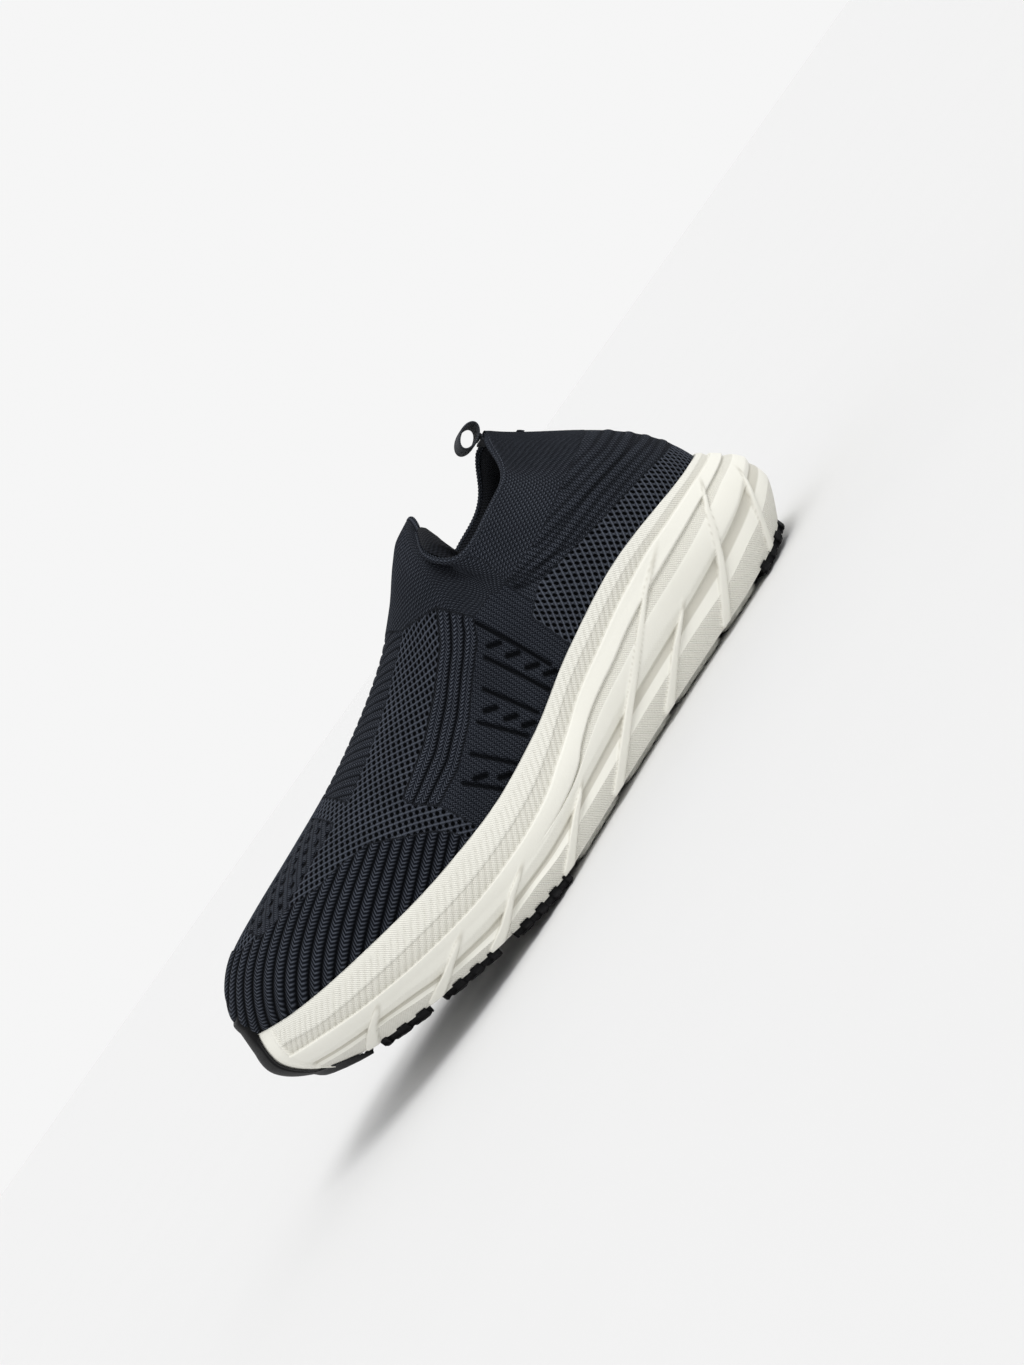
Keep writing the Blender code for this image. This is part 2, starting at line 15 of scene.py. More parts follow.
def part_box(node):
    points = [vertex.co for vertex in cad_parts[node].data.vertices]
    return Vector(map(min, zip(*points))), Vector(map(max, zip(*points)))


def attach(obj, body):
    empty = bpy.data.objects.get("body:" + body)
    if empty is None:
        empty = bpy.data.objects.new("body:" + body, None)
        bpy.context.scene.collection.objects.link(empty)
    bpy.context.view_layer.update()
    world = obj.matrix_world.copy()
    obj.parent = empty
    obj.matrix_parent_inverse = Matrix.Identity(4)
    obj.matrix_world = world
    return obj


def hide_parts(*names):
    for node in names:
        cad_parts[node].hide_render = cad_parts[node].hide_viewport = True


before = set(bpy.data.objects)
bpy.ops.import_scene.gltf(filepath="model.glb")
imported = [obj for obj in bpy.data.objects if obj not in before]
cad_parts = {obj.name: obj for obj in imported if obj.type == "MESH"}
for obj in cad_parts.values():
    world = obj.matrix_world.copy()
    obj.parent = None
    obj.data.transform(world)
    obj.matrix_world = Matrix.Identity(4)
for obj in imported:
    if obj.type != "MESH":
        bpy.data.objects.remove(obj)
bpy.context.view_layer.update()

MM = 0.001

# ---- The CAD part's driving shapes -------------------------------------------------------------------------

LENGTH = 298.0
OUTLINE = [
    (0, 0), (9, 27), (38, 42.5), (90, 43), (140, 46.5), (190, 55), (235, 51.5), (270, 33), (291, 8),
    (298, -13), (287, -38), (253, -53.5), (208, -53), (160, -42), (110, -37.5), (55, -42.5), (11, -30),
]
TOE_POINT = 9
GROUND = [(0, 10), (14, 4.6), (24, 2.6), (34, 1.4), (49, 0.4), (60, 0), (180, 0), (200, 1.9), (215, 4.9),
          (230, 8.5), (245, 12.2), (260, 16.2), (272, 19.9), (283, 24.4), (291, 29), (298, 38)]
FEATHER = [(0, 46.5), (30, 47.7), (75, 50.8), (115, 46.5), (150, 40), (178, 38.1), (210, 40.3), (250, 46.5),
           (280, 52.5), (298, 58)]
FLOOR = [(0, 33.5), (75, 34.5), (115, 31.5), (150, 27.5), (178, 26), (210, 27.5), (250, 33.5), (280, 39.5),
         (298, 44)]
BOTTOM_INSET = [(0, 12.5), (20, 8), (50, 5), (200, 4), (250, 5), (280, 7), (298, 9)]
FEATHER_INSET = [(0, 13.5), (15, 9.5), (40, 6), (80, 4.5), (240, 4.5), (280, 5.5), (298, 7)]
CREST = [(0, 0.42), (30, 0.47), (70, 0.55), (298, 0.55)]  # the level at which the wall stands furthest out
WALL_CURVE = 1.8
POD_HEIGHT = 3.0
RIM = 1.6
UNDERSIDE = (34, 262)  # s of the ends of the underside's middle line
COLLAR = [(52.5, 0, 118.5), (58.5, 12, 114.6), (65, 20.5, 107.2), (72, 27, 102.6), (85, 32.5, 100.6),
          (101, 35, 98.6), (110.5, 33, 100), (113.8, 27.5, 107.3), (106, 14, 116), (100, 0, 122.3)]
RIDGE = [(100, 122.3), (108, 121.2), (115, 118), (128, 110), (149, 100.1), (176, 92.7), (202, 88.1),
         (228, 85.8), (253, 84), (270, 82), (282, 77), (290, 69), (297, 56)]
RIDGE_END = 282
RIDGE_Y = [(101, 0), (200, -2), (250, -5), (282, -9)]
COLUMN_END = [(0, 0), (45, 0.24), (75, 0.45), (100, 0.66), (118, 0.85), (134, 1.0), (175, 1.23),
              (225, 1.54), (262, 1.8), (284, 1.92), (298, 2.0)]
TAB_CENTRE = (59.0, 121.9)
TAB_RADII = (6.3, 3.9)
TAB_TILT = -0.2
TAB_WIDTH = 11.0
WEBBING = 1.1
PODS = {  # name: (rear s, front s, skew of the inner end, colour)
    "heel_rubber": (20, 45.5, -2, "black"),
    "midfoot_pod_1": (48, 71, -3, "white"),
    "midfoot_pod_2": (74, 104.5, -4, "white"),
    "midfoot_pod_3": (109, 142, -5, "white"),
    "midfoot_pod_4": (147, 177, -6, "white"),
    "forefoot_pod_1": (185, 214, -7, "black"),
    "forefoot_pod_2": (221, 245, -7, "black"),
    "forefoot_pod_3": (250, 269, -4, "black"),
}
SIDES = (("outer", 1), ("inner", -1))
CHANNEL = 5.0  # from the middle line to the pods' inner ends
POD_EDGE = {"black": 1.0, "white": 6.0}


# ---- Curves and grids --------------------------------------------------------------------------------------


def hermite(a, b, step, leave, arrive, t):
    """The cubic from a to b over a step, leaving and arriving at the given slopes. t goes from 0 to 1."""
    bend = step * (leave * t * (1 - t) ** 2 - arrive * t**2 * (1 - t))
    return a * (1 + 2 * t) * (1 - t) ** 2 + b * (3 - 2 * t) * t**2 + bend


def smooth(points, at):
    """The smooth curve through (place, value) points, level beyond its ends, with no bump between points."""
    x, y = np.array(points, float).T
    secant = np.diff(y) / np.diff(x)
    before, after = secant[:-1], secant[1:]
    same_way = before * after > 0
    mean = 2 * before * after / np.where(same_way, before + after, 1)
    slope = np.concatenate([secant[:1], np.where(same_way, mean, 0), secant[-1:]])
    at = np.clip(at, x[0], x[-1])
    i = np.clip(np.searchsorted(x, at) - 1, 0, len(x) - 2)
    step = x[i + 1] - x[i]
    return hermite(y[i], y[i + 1], step, slope[i], slope[i + 1], (at - x[i]) / step)


def loop_spline(points, steps=96):
    """Dense points round the closed cubic spline through the given ones, and the index of each given one."""
    p = np.array(points, float)
    n = len(p)
    following = np.roll(p, -1, 0)
    h = np.linalg.norm(following - p, axis=1)
    chord = (following - p) / h[:, None]
    a, b = np.zeros((n, n)), np.zeros_like(p)
    for i in range(n):
        a[i, i - 1], a[i, i], a[i, (i + 1) % n] = h[i], 2 * (h[i - 1] + h[i]), h[i - 1]
        b[i] = 3 * (h[i] * chord[i - 1] + h[i - 1] * chord[i])
    slope = np.linalg.solve(a, b)
    t = np.linspace(0, 1, steps, endpoint=False)[:, None]
    out = [hermite(p[i], p[(i + 1) % n], h[i], slope[i], slope[(i + 1) % n], t) for i in range(n)]
    return np.concatenate(out + [p[:1]]), np.arange(n + 1) * steps


def columns_at(at, run, values):
    """Each column of values read at the given places of a run."""
    return np.stack([np.interp(at, run, column) for column in values.T], axis=1)


def along(line, shares):
    """Points at the given shares of a polyline's length."""
    step = np.linalg.norm(np.diff(line, axis=0), axis=1)
    return columns_at(shares, np.concatenate([[0], np.cumsum(step)]) / step.sum(), line)


def unit(vectors):
    """The vectors at length 1."""
    size = np.linalg.norm(vectors, axis=-1, keepdims=True)
    return vectors / np.where(size == 0, 1, size)


def ramp(distance, width=1.0):
    """0 to 1 as a signed distance goes from half a width below nothing to half a width above it."""
    t = np.clip(distance / width + 0.5, 0, 1)
    return t * t * (3 - 2 * t)


def pair(a, b):
    """Two fields side by side, each spread to the other's shape."""
    return np.stack(np.broadcast_arrays(a, b), axis=-1)


def line_at(points, at):
    """The height of a polyline of (place, value) points."""
    x, y = np.array(sorted(points), float).T
    return np.interp(at, x, y)


def distance_to(x, y, points):
    """Distance from (x, y) to a polyline, and how far along it, from 0 to 1, the nearest place is."""
    best = np.full(np.shape(x), 1e9)
    share = np.zeros(np.shape(x))
    count = len(points) - 1
    for k, (a, b) in enumerate(zip(points, points[1:])):
        dx, dy = b[0] - a[0], b[1] - a[1]
        t = np.clip(((x - a[0]) * dx + (y - a[1]) * dy) / (dx * dx + dy * dy), 0, 1)
        far = np.hypot(x - a[0] - t * dx, y - a[1] - t * dy)
        share = np.where(far < best, (k + t) / count, share)
        best = np.minimum(best, far)
    return best, share


class Ring:
    """The sole's outline as a ring of columns: its points, its outward normals and its distance round."""

    def __init__(self, half):
        self.half, self.count = half, 2 * half
        line, knots = loop_spline(OUTLINE)
        toe = knots[TOE_POINT]
        shares = np.linspace(0, 1, half + 1)
        outer, inner = along(line[: toe + 1], shares), along(line[toe:], shares)
        self.plan = np.concatenate([outer[:-1], inner[:-1]])
        run = unit(np.roll(self.plan, -1, 0) - np.roll(self.plan, 1, 0))
        self.outward = np.stack([-run[:, 1], run[:, 0]], axis=1)
        self.partner = (self.count - np.arange(self.count)) % self.count
        self.s = self.plan[:, 0]
        step = np.linalg.norm(self.plan - np.roll(self.plan, 1, 0), axis=1)
        step[0] = 0
        self.run = np.cumsum(step)
        from_heel = np.minimum(np.arange(self.count), self.count - np.arange(self.count))
        self.from_heel = from_heel / half

    def at(self, inset, z):
        """One ring of points: the outline drawn in by inset, at height z."""
        plan = self.plan - self.outward * np.reshape(inset, (-1, 1))
        return np.column_stack([plan, np.broadcast_to(z, self.count)])

    def on_floor(self, inset, lift):
        """One ring of points a little above the cup's floor."""
        ring = self.at(inset, 0)
        ring[:, 2] = smooth(FLOOR, ring[:, 0]) + lift
        return ring

    def side_inset(self, level):
        """How far the side wall stands in from the outline at a level from 0, bottom, to 1, feather line."""
        crest = smooth(CREST, self.s)
        below = np.clip(1 - level / crest, 0, 1) ** WALL_CURVE
        above = np.clip((level - crest) / (1 - crest), 0, 1) ** WALL_CURVE
        return smooth(BOTTOM_INSET, self.s) * below + (smooth(FEATHER_INSET, self.s) - RIM) * above

    def inward(self, edge, share, low, high):
        """The ring a share of the way from an edge in to its middle line, which runs from s low to high."""
        middle = (edge + edge[self.partner]) / 2
        middle[:, 0] = np.clip(middle[:, 0], low, high)
        return edge + (middle - edge) * share

    def under(self, edge, share):
        """A ring of the foam's underside, a share of the way in from its bottom edge."""
        ring = self.inward(edge, share, *UNDERSIDE)
        ring[:, 2] = smooth(GROUND, ring[:, 0]) + POD_HEIGHT
        return ring

    def foot_z(self):
        """Height of the wall's bottom edge."""
        return smooth(GROUND, self.at(smooth(BOTTOM_INSET, self.s), 0)[:, 0]) + POD_HEIGHT

    def wall(self, level, depth):
        """One ring of points on the side wall, sunk by depth."""
        low, high = self.foot_z(), smooth(FEATHER, self.s)
        return self.at(self.side_inset(level) + depth, low + (high - low) * level)


COARSE = Ring(44)
MIDDLE_Y = (COARSE.plan[:, 1].max() + COARSE.plan[:, 1].min()) / 2


def in_frame(points):
    """Points given as (s, y, z) in millimetres, in the frame's metres."""
    return (np.asarray(points, float) - [LENGTH / 2, MIDDLE_Y, 0]) * MM


def grid_faces(rows, columns, closed=True, flip=True):
    """Quads of a grid stored row by row. Flipped, a ring of columns faces out when its rows climb."""
    across = columns if closed else columns - 1
    r, c = np.meshgrid(np.arange(rows - 1) * columns, np.arange(across), indexing="ij")
    n = (c + 1) % columns
    quads = np.stack([r + c, r + n, r + columns + n, r + columns + c], axis=-1).reshape(-1, 4)
    return quads[:, ::-1] if flip else quads


def ring_faces(rows, columns):
    """Quads of a grid that closes on itself both ways, like a tube bent into a ring."""
    return grid_faces(rows + 1, columns) % (rows * columns)


def ladder(ring, first, up):
    """Quads and triangles across one ring of points, from each column to its partner."""
    c = np.arange(1, ring.half - 1)
    quads = np.stack([c, c + 1, ring.count - c - 1, ring.count - c], axis=-1) + first
    ends = np.array([[0, 1, ring.count - 1], [ring.half - 1, ring.half, ring.half + 1]]) + first
    return [quads[:, ::-1], ends[:, ::-1]] if up else [quads, ends]


def closed_stack(ring, rows):
    """Faces of a stack of rings, closed at both ends."""
    last = (rows - 1) * ring.count
    return [grid_faces(rows, ring.count), *ladder(ring, 0, up=False), *ladder(ring, last, up=True)]


def normals_of(points, blocks):
    """Unit normals at the points, from blocks of quads and triangles."""
    total = np.zeros_like(points)
    for block in blocks:
        p = points[block]
        across = np.cross(p[:, 2] - p[:, 0], p[:, -1] - p[:, 1])
        for k in range(block.shape[1]):
            np.add.at(total, block[:, k], across)
    return unit(total)


def build(name, points, blocks, look, uv=None, paint=None, normals=None):
    """A smooth-shaded mesh object from a list or grid of points in millimetres and blocks of faces."""
    points = points.reshape(-1, 3)
    mesh = bpy.data.meshes.new(name)
    mesh.vertices.add(len(points))
    mesh.vertices.foreach_set("co", in_frame(points).astype(np.float32).ravel())
    corners = np.concatenate([block.ravel() for block in blocks]).astype(np.int32)
    sizes = np.concatenate([np.full(len(block), block.shape[1]) for block in blocks])
    mesh.loops.add(len(corners))
    mesh.loops.foreach_set("vertex_index", corners)
    mesh.polygons.add(len(sizes))
    mesh.polygons.foreach_set("loop_start", np.concatenate([[0], np.cumsum(sizes)[:-1]]).astype(np.int32))
    mesh.update(calc_edges=True)
    mesh.shade_smooth()
    if uv is not None:
        at_corners = uv.reshape(-1, 2)[corners].astype(np.float32)
        mesh.uv_layers.new(name="pattern").data.foreach_set("uv", at_corners.ravel())
    if paint is not None:
        layer = mesh.color_attributes.new("paint", "FLOAT_COLOR", "POINT")
        layer.data.foreach_set("color", paint.astype(np.float32).ravel())
    if normals is not None:
        mesh.normals_split_custom_set_from_vertices(normals.tolist())
    mesh.materials.append(look)
    made = bpy.data.objects.new(name, mesh)
    bpy.context.scene.collection.objects.link(made)
    return made


def settle(piece, body, slot, *nodes):
    """Ties a piece to its body and hides the CAD nodes that it stands for. The slot, naming its finish, is
    not used.
    """
    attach(piece, body)
    if nodes:
        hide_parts(*nodes)
    return piece


# ---- Materials ---------------------------------------------------------------------------------------------


class Term:
    """One value in a shader's node tree. Arithmetic on it adds Math nodes."""

    def __init__(self, tree, socket):
        self.tree, self.socket = tree, socket

    def op(self, kind, *others, clamp=False):
        """A Math node on this value and up to two others."""
        node = self.tree.nodes.new("ShaderNodeMath")
        node.operation, node.use_clamp = kind, clamp
        for place, item in enumerate((self, *others)):
            if isinstance(item, Term):
                self.tree.links.new(item.socket, node.inputs[place])
            else:
                node.inputs[place].default_value = item
        return Term(self.tree, node.outputs[0])

    def __add__(self, other):
        return self.op("ADD", other)

    def __sub__(self, other):
        return self.op("SUBTRACT", other)

    def __mul__(self, other):
        return self.op("MULTIPLY", other)

    def cosine(self):
        """The cosine that goes once up and down for each whole number, from -1 to 1."""
        return (self * math.tau).op("COSINE")

    def wave(self):
        """The same cosine from 0 to 1."""
        return self.cosine() * 0.5 + 0.5

    def flip(self):
        """1 less the value."""
        return self.op("MULTIPLY", -1.0) + 1.0

    def clamped(self):
        """The value held between 0 and 1."""
        return self.op("ADD", 0.0, clamp=True)

    def step(self, low, high):
        """0 below low, 1 above high, and a smooth step between."""
        node = self.tree.nodes.new("ShaderNodeMapRange")
        node.interpolation_type = "SMOOTHSTEP"
        self.tree.links.new(self.socket, node.inputs["Value"])
        node.inputs["From Min"].default_value = low
        node.inputs["From Max"].default_value = high
        return Term(self.tree, node.outputs["Result"])


class Look:
    """A Principled material and the few node shapes that the shoe's materials share."""

    def __init__(self, name, roughness, sheen=0.0, specular=0.3):
        self.made = bpy.data.materials.new(name)
        self.made.use_nodes = True
        self.tree = self.made.node_tree
        self.shader = self.tree.nodes["Principled BSDF"]
        self.shader.inputs["Roughness"].default_value = roughness
        self.shader.inputs["Specular IOR Level"].default_value = specular
        self.shader.inputs["Sheen Weight"].default_value = sheen
        self.shader.inputs["Sheen Roughness"].default_value = 0.5

    def node(self, kind):
        """A new shader node of a kind."""
        return self.tree.nodes.new("ShaderNode" + kind)

    def pattern(self):
        """The two numbers of the piece's pattern coordinates."""
        split = self.node("SeparateXYZ")
        uv = self.node("UVMap")
        uv.uv_map = "pattern"
        self.tree.links.new(uv.outputs["UV"], split.inputs[0])
        return Term(self.tree, split.outputs[0]), Term(self.tree, split.outputs[1])

    def paint(self):
        """The four values painted on the piece's points."""
        source = self.node("Attribute")
        source.attribute_name = "paint"
        split = self.node("SeparateColor")
        self.tree.links.new(source.outputs["Color"], split.inputs[0])
        values = [Term(self.tree, split.outputs[k]) for k in range(3)]
        return values + [Term(self.tree, source.outputs["Alpha"])]

    def noise(self, size, detail=2.0):
        """Noise from 0 to 1 whose lumps are about size millimetres across."""
        where = self.node("TexCoord")
        node = self.node("TexNoise")
        node.inputs["Scale"].default_value = 1 / (size * MM)
        node.inputs["Detail"].default_value = detail
        self.tree.links.new(where.outputs["Object"], node.inputs["Vector"])
        return Term(self.tree, node.outputs[0])

    def colour(self, low, high, mix):
        """Mixes two colours into the base colour, or into another mix."""
        node = self.node("Mix")
        node.data_type = "RGBA"
        for socket, value in ((node.inputs[6], low), (node.inputs[7], high)):
            if isinstance(value, tuple):
                socket.default_value = (*value, 1)
            else:
                self.tree.links.new(value, socket)
        self.tree.links.new(mix.socket, node.inputs[0])
        return node.outputs[2]

    def finish(self, colour, height, depth):
        """Joins the colour, and a bump whose full height is depth millimetres, to the shader."""
        self.tree.links.new(colour, self.shader.inputs["Base Color"])
        bump = self.node("Bump")
        bump.inputs["Distance"].default_value = depth * MM
        self.tree.links.new(height.socket, bump.inputs["Height"])
        self.tree.links.new(bump.outputs["Normal"], self.shader.inputs["Normal"])
        return self.made


def knit_look(name, deep, yarn, light):
    """Knit: chevron stitches along ribs, or mesh with holes. Paint is chevron strength, unshaded share
    (painted shade where low), mesh, and stitch brightness (partly painted light).
    """
    # deep is painted shade for grooves, gaps and holes; light is the stitch crowns' colour, a painted
    # highlight on the stitch pattern.
    look = Look(name, 0.85, sheen=0.01, specular=0.04)
    run, rib = look.pattern()
    chevrons, height, mesh, tone = look.paint()
    wale = (rib.op("FRACT") * 2.0 - 1.0).op("ABSOLUTE")
    stitch = (run + wale * 1.2).wave().op("POWER", 1.5)
    thread = stitch * wale.op("POWER", 4.0).flip()
    holes = (run.cosine() * rib.cosine()).step(-0.1, 0.45) * mesh
    crossing = (run * 2.0 + rib * 2.0).wave() * 0.5 + 0.35
    weave = thread * chevrons + crossing * mesh
    fluff = look.noise(0.5)
    broad = look.noise(14.0)
    # The stitch crowns take the lighter colour, a painted highlight on the stitch pattern, scaled by each
    # zone's brightness, which is partly painted light.
    body = look.colour(yarn, light, (weave * (fluff * 0.7 + 0.5)).op("MULTIPLY", tone, clamp=True))
    # Painted shade: the deep colour fills the grooves and gaps where the second paint value (read here as
    # height) is low, and the mesh holes.
    unshaded_ = (height * (weave * 0.45 + 0.55) * holes.flip() * (broad * 0.5 + 0.75)).clamped()
    colour = look.colour(deep, body, unshaded_)
    bump = weave * 0.8 + fluff * 0.25 - holes * 0.8
    return look.finish(colour, bump, 0.45)


def foam_look():
    """Moulded foam. Paint is fine hatching, knurling, painted shade in the slots, cuts and along the ribs'
    edges, and nothing.
    """
    look = Look("moulded_foam", 0.55)
    run, high = look.pattern()
    hatch, knurl, shade, _ = look.paint()
    lines = ((run - high * 0.8) * 0.95).wave() * 0.75 + ((run + high * 1.6) * 0.8).wave() * 0.25
    dots = ((run - high * 1.1) * 0.85).wave()
    grain = look.noise(0.7)
    broad = look.noise(40.0)
    # Painted shade from the paint's third value darkens towards the dark colour, along with the darker hatch
    # lines and knurl dots.
    dark = (hatch * 0.10 + hatch * lines * 0.22 + shade * 0.8 + knurl * dots * 0.09).clamped()
    plain = look.colour((0.755, 0.745, 0.675), (0.815, 0.805, 0.74), broad)
    colour = look.colour(plain, (0.50, 0.48, 0.41), dark)
    bump = (hatch * lines + knurl * dots * 0.6).flip() + grain * 0.16
    return look.finish(colour, bump, 0.25)


def rubber_look(name, low, high):
    """Moulded rubber with a fine grain and dust in the grain."""
    look = Look(name, 0.55, specular=0.1)
    grain = look.noise(0.6, 4.0)
    broad = look.noise(9.0)
    return look.finish(look.colour(low, high, grain * broad * 1.6), grain + broad * 0.3, 0.12)


def cloth_look(name, deep, light, pitch):
    """Plain woven or mesh cloth over the piece's pattern, which is in millimetres."""
    look = Look(name, 0.9, 0.02, 0.1)
    run, rib = look.pattern()
    over = (run * (1 / pitch)).wave() * (rib * (1 / pitch)).wave()
    under = (run * (1 / pitch) + 0.5).wave() * (rib * (1 / pitch) + 0.5).wave()
    weave = (over + under).clamped()
    fluff = look.noise(0.4)
    mix = (weave * (fluff + 0.35)).clamped()
    return look.finish(look.colour(deep, light, mix), weave + fluff * 0.3, pitch * 0.35)


def webbing_look():
    """Twill webbing: slanted ridges along the tape."""
    look = Look("webbing", 0.8, 0.03, 0.15)
    run, across = look.pattern()
    twill = ((run + across * 0.8) * 0.9).wave()
    cord = (across * 0.9).wave()
    weave = twill * 0.7 + cord * 0.3
    fluff = look.noise(0.4)
    colour = look.colour((0.006, 0.007, 0.009), (0.055, 0.06, 0.07), weave * (fluff + 0.3))
    return look.finish(colour, weave, 0.25)


def plain_look(name, low, high, size, depth, roughness=0.8):
    """A board, foam or thread that mostly lies inside: two tones and a grain."""
    look = Look(name, roughness)
    grain = look.noise(size, 3.0)
    return look.finish(look.colour(low, high, grain), grain, depth)


# ---- Camera, floor and light -------------------------------------------------------------------------------

CAMERA_TURN = math.radians(12.5)  # towards the toe from square to the outer side
CAMERA_AWAY = 760.0
CAMERA_HEIGHT = 112.0
CAMERA_ROLL = math.radians(54.54)
CAMERA_LENS = 52.93
AIM = (149.0, 0.0, 60.0)
AIM_SLOPE = (-0.02196, -0.01763)  # where the aim lies in the picture, left of and below its middle


def square_axes(ray, up):
    """A right-handed set of axes with the ray first and up made square to it."""
    up = (up - up.dot(ray) * ray).normalized()
    return Matrix((ray, up, ray.cross(up))).transposed()


def add_camera():
    """The camera, looking at the outer side and rolled."""
    forward, away = CAMERA_AWAY * math.sin(CAMERA_TURN), CAMERA_AWAY * math.cos(CAMERA_TURN)
    place = Vector((AIM[0] + forward, away, CAMERA_HEIGHT))
    seen = Vector((*AIM_SLOPE, -1)).normalized()
    ray = (Vector(AIM) - place).normalized()
    tilted = Vector((-math.sin(CAMERA_ROLL), math.cos(CAMERA_ROLL), 0))
    turn = square_axes(ray, Vector((0, 0, 1))) @ square_axes(seen, tilted).transposed()
    camera = bpy.data.objects.new("camera", bpy.data.cameras.new("camera"))
    camera.data.lens = CAMERA_LENS
    camera.data.sensor_fit = "VERTICAL"
    camera.data.sensor_height = 36.0
    camera.matrix_world = Matrix.Translation(Vector(in_frame(place))) @ turn.to_4x4()
    bpy.context.scene.collection.objects.link(camera)
    bpy.context.scene.camera = camera


FLOOR_HALF, FLOOR_Z = 6.0, -0.0002  # in metres
SKY = 0.92
LAMP_POWER = 1.3
LAMP_WIDTH = math.radians(28)
LAMP_SIDE = (-0.35, 0.6, 1.25)  # the way from the shoe to the lamp


def add_floor():
    """A plain pale floor, whose brightness under these lights is about the sky's."""
    look = Look("floor", 0.9)
    shade = look.noise(60.0)
    look.finish(look.colour((0.69, 0.69, 0.69), (0.70, 0.70, 0.70), shade), shade, 0.02)
    mesh = bpy.data.meshes.new("floor")
    corners = [(x * FLOOR_HALF, y * FLOOR_HALF, FLOOR_Z) for x, y in ((-1, -1), (1, -1), (1, 1), (-1, 1))]
    mesh.from_pydata(corners, [], [(0, 1, 2, 3)])
    mesh.materials.append(look.made)
    floor = bpy.data.objects.new("floor", mesh)
    bpy.context.scene.collection.objects.link(floor)


def add_light():
    """An even pale sky, and one large soft lamp, high on the outer side and a little towards the heel."""
    world = bpy.data.worlds.new("sky")
    world.use_nodes = True
    world.node_tree.nodes["Background"].inputs["Color"].default_value = (SKY, SKY, SKY, 1)
    bpy.context.scene.world = world
    lamp = bpy.data.lights.new("key", "SUN")
    lamp.energy = LAMP_POWER
    lamp.angle = LAMP_WIDTH
    key = bpy.data.objects.new("key", lamp)
    key.rotation_euler = Vector(LAMP_SIDE).to_track_quat("Z", "Y").to_euler()
    bpy.context.scene.collection.objects.link(key)
    bpy.context.scene.view_settings.view_transform = "Standard"


# ---- The foam midsole --------------------------------------------------------------------------------------

# Level of each moulded line on the wall, from 0 at the bottom edge to 1 at the feather line, along the shoe.
FLUTE_FOOT = [(0, 0.31), (29, 0.225), (40, 0.212), (60, 0.175), (121, 0.175), (191, 0.175), (203, 0.15),
              (214, 0.10), (241, 0.11), (250, 0.138), (266, 0.2), (289, 0.2), (298, 0.2)]
UNDERCUT = [(0, 0.55), (17, 0.5), (40, 0.425), (55, 0.388), (73, 0.35), (92, 0.33), (141, 0.335),
            (154, 0.325), (167, 0.3), (191, 0.275), (208, 0.25), (219, 0.225), (241, 0.213), (252, 0.25),
            (269, 0.288), (290, 0.3), (298, 0.3)]
STRIP_FOOT = [(0, 0.60), (17, 0.55), (33, 0.463), (54, 0.425), (76, 0.39), (92, 0.4), (154, 0.4),
              (185, 0.375), (208, 0.325), (228, 0.3), (239, 0.288), (253, 0.338), (298, 0.4)]
FACET_FOOT = [(0, 0.70), (25, 0.69), (36, 0.66), (55, 0.6), (74, 0.563), (89, 0.556), (110, 0.538),
              (129, 0.53), (142, 0.5), (151, 0.463), (160, 0.43), (172, 0.415), (200, 0.43), (298, 0.45)]
FACET_TOP = [(0, 0.80), (12, 0.79), (37, 0.765), (55, 0.725), (72, 0.69), (99, 0.66), (110, 0.638),
             (129, 0.625), (142, 0.575), (151, 0.49), (160, 0.45), (172, 0.435), (200, 0.45), (298, 0.47)]
BAND_FOOT = [(0, 0.89), (32, 0.89), (54, 0.863), (67, 0.85), (80, 0.825), (93, 0.813), (110, 0.79),
             (128, 0.775), (141, 0.738), (154, 0.688), (167, 0.625), (191, 0.575), (203, 0.55),
             (216, 0.525), (239, 0.513), (261, 0.538), (283, 0.595), (298, 0.6)]
BAND_TOP = [(0, 0.955), (40, 0.945), (61, 0.92), (99, 0.9), (128, 0.888), (141, 0.863), (154, 0.813),
            (167, 0.775), (191, 0.745), (208, 0.722), (250, 0.713), (272, 0.713), (291, 0.76), (298, 0.76)]
SLIT = 0.012  # the share of the wall's height that a moulded step takes
FLUTE, SLOT, BEVEL = 1.0, 1.9, 1.1  # millimetres deep: the flute's middle, the undercut and the bevel over it
FACET, LEDGE, LIP = 1.3, 1.2, 0.35
BULGE = 0.5
RIBS = [  # (s, level) of each raised rib, from the bottom up
    [(276, 0.0), (268.7, 0.24), (258.9, 0.47)],
    [(249.6, 0.0), (238.5, 0.175), (223.5, 0.43)],
    [(222.1, 0.0), (214.5, 0.113), (203.4, 0.31), (191.3, 0.45)],
    [(184, 0.0), (167.5, 0.238), (153, 0.39)],
    [(148.5, 0.0), (127.6, 0.25), (110.5, 0.413), (95.9, 0.55), (80.5, 0.688), (62.7, 0.825)],
    [(111.5, 0.0), (91.8, 0.238), (74.1, 0.40)],
    [(72, 0.0), (53.9, 0.338), (41.1, 0.66), (28.3, 0.875)],
    [(33.8, 0.0), (24.9, 0.35), (14.6, 0.65)],
]
RIB_WIDTHS = (2.1, 0.6)  # half-widths at the bottom and at the tip
RIB_PROUD = 0.8
BAND_HATCH = 0.75
CUT_PITCH, CUT_DEPTH = 3.1, 0.35  # of the slanted cuts in the hatched band
CUTS_FROM = 66
WALL_HALF = 480
NOSE = 23.0  # the plain stretch of foam each side of the toe's middle
NOSE_DEPTH, NOSE_EDGE = 0.7, 0.55  # how far the plain stretch is sunk, and how far its edge line is raised


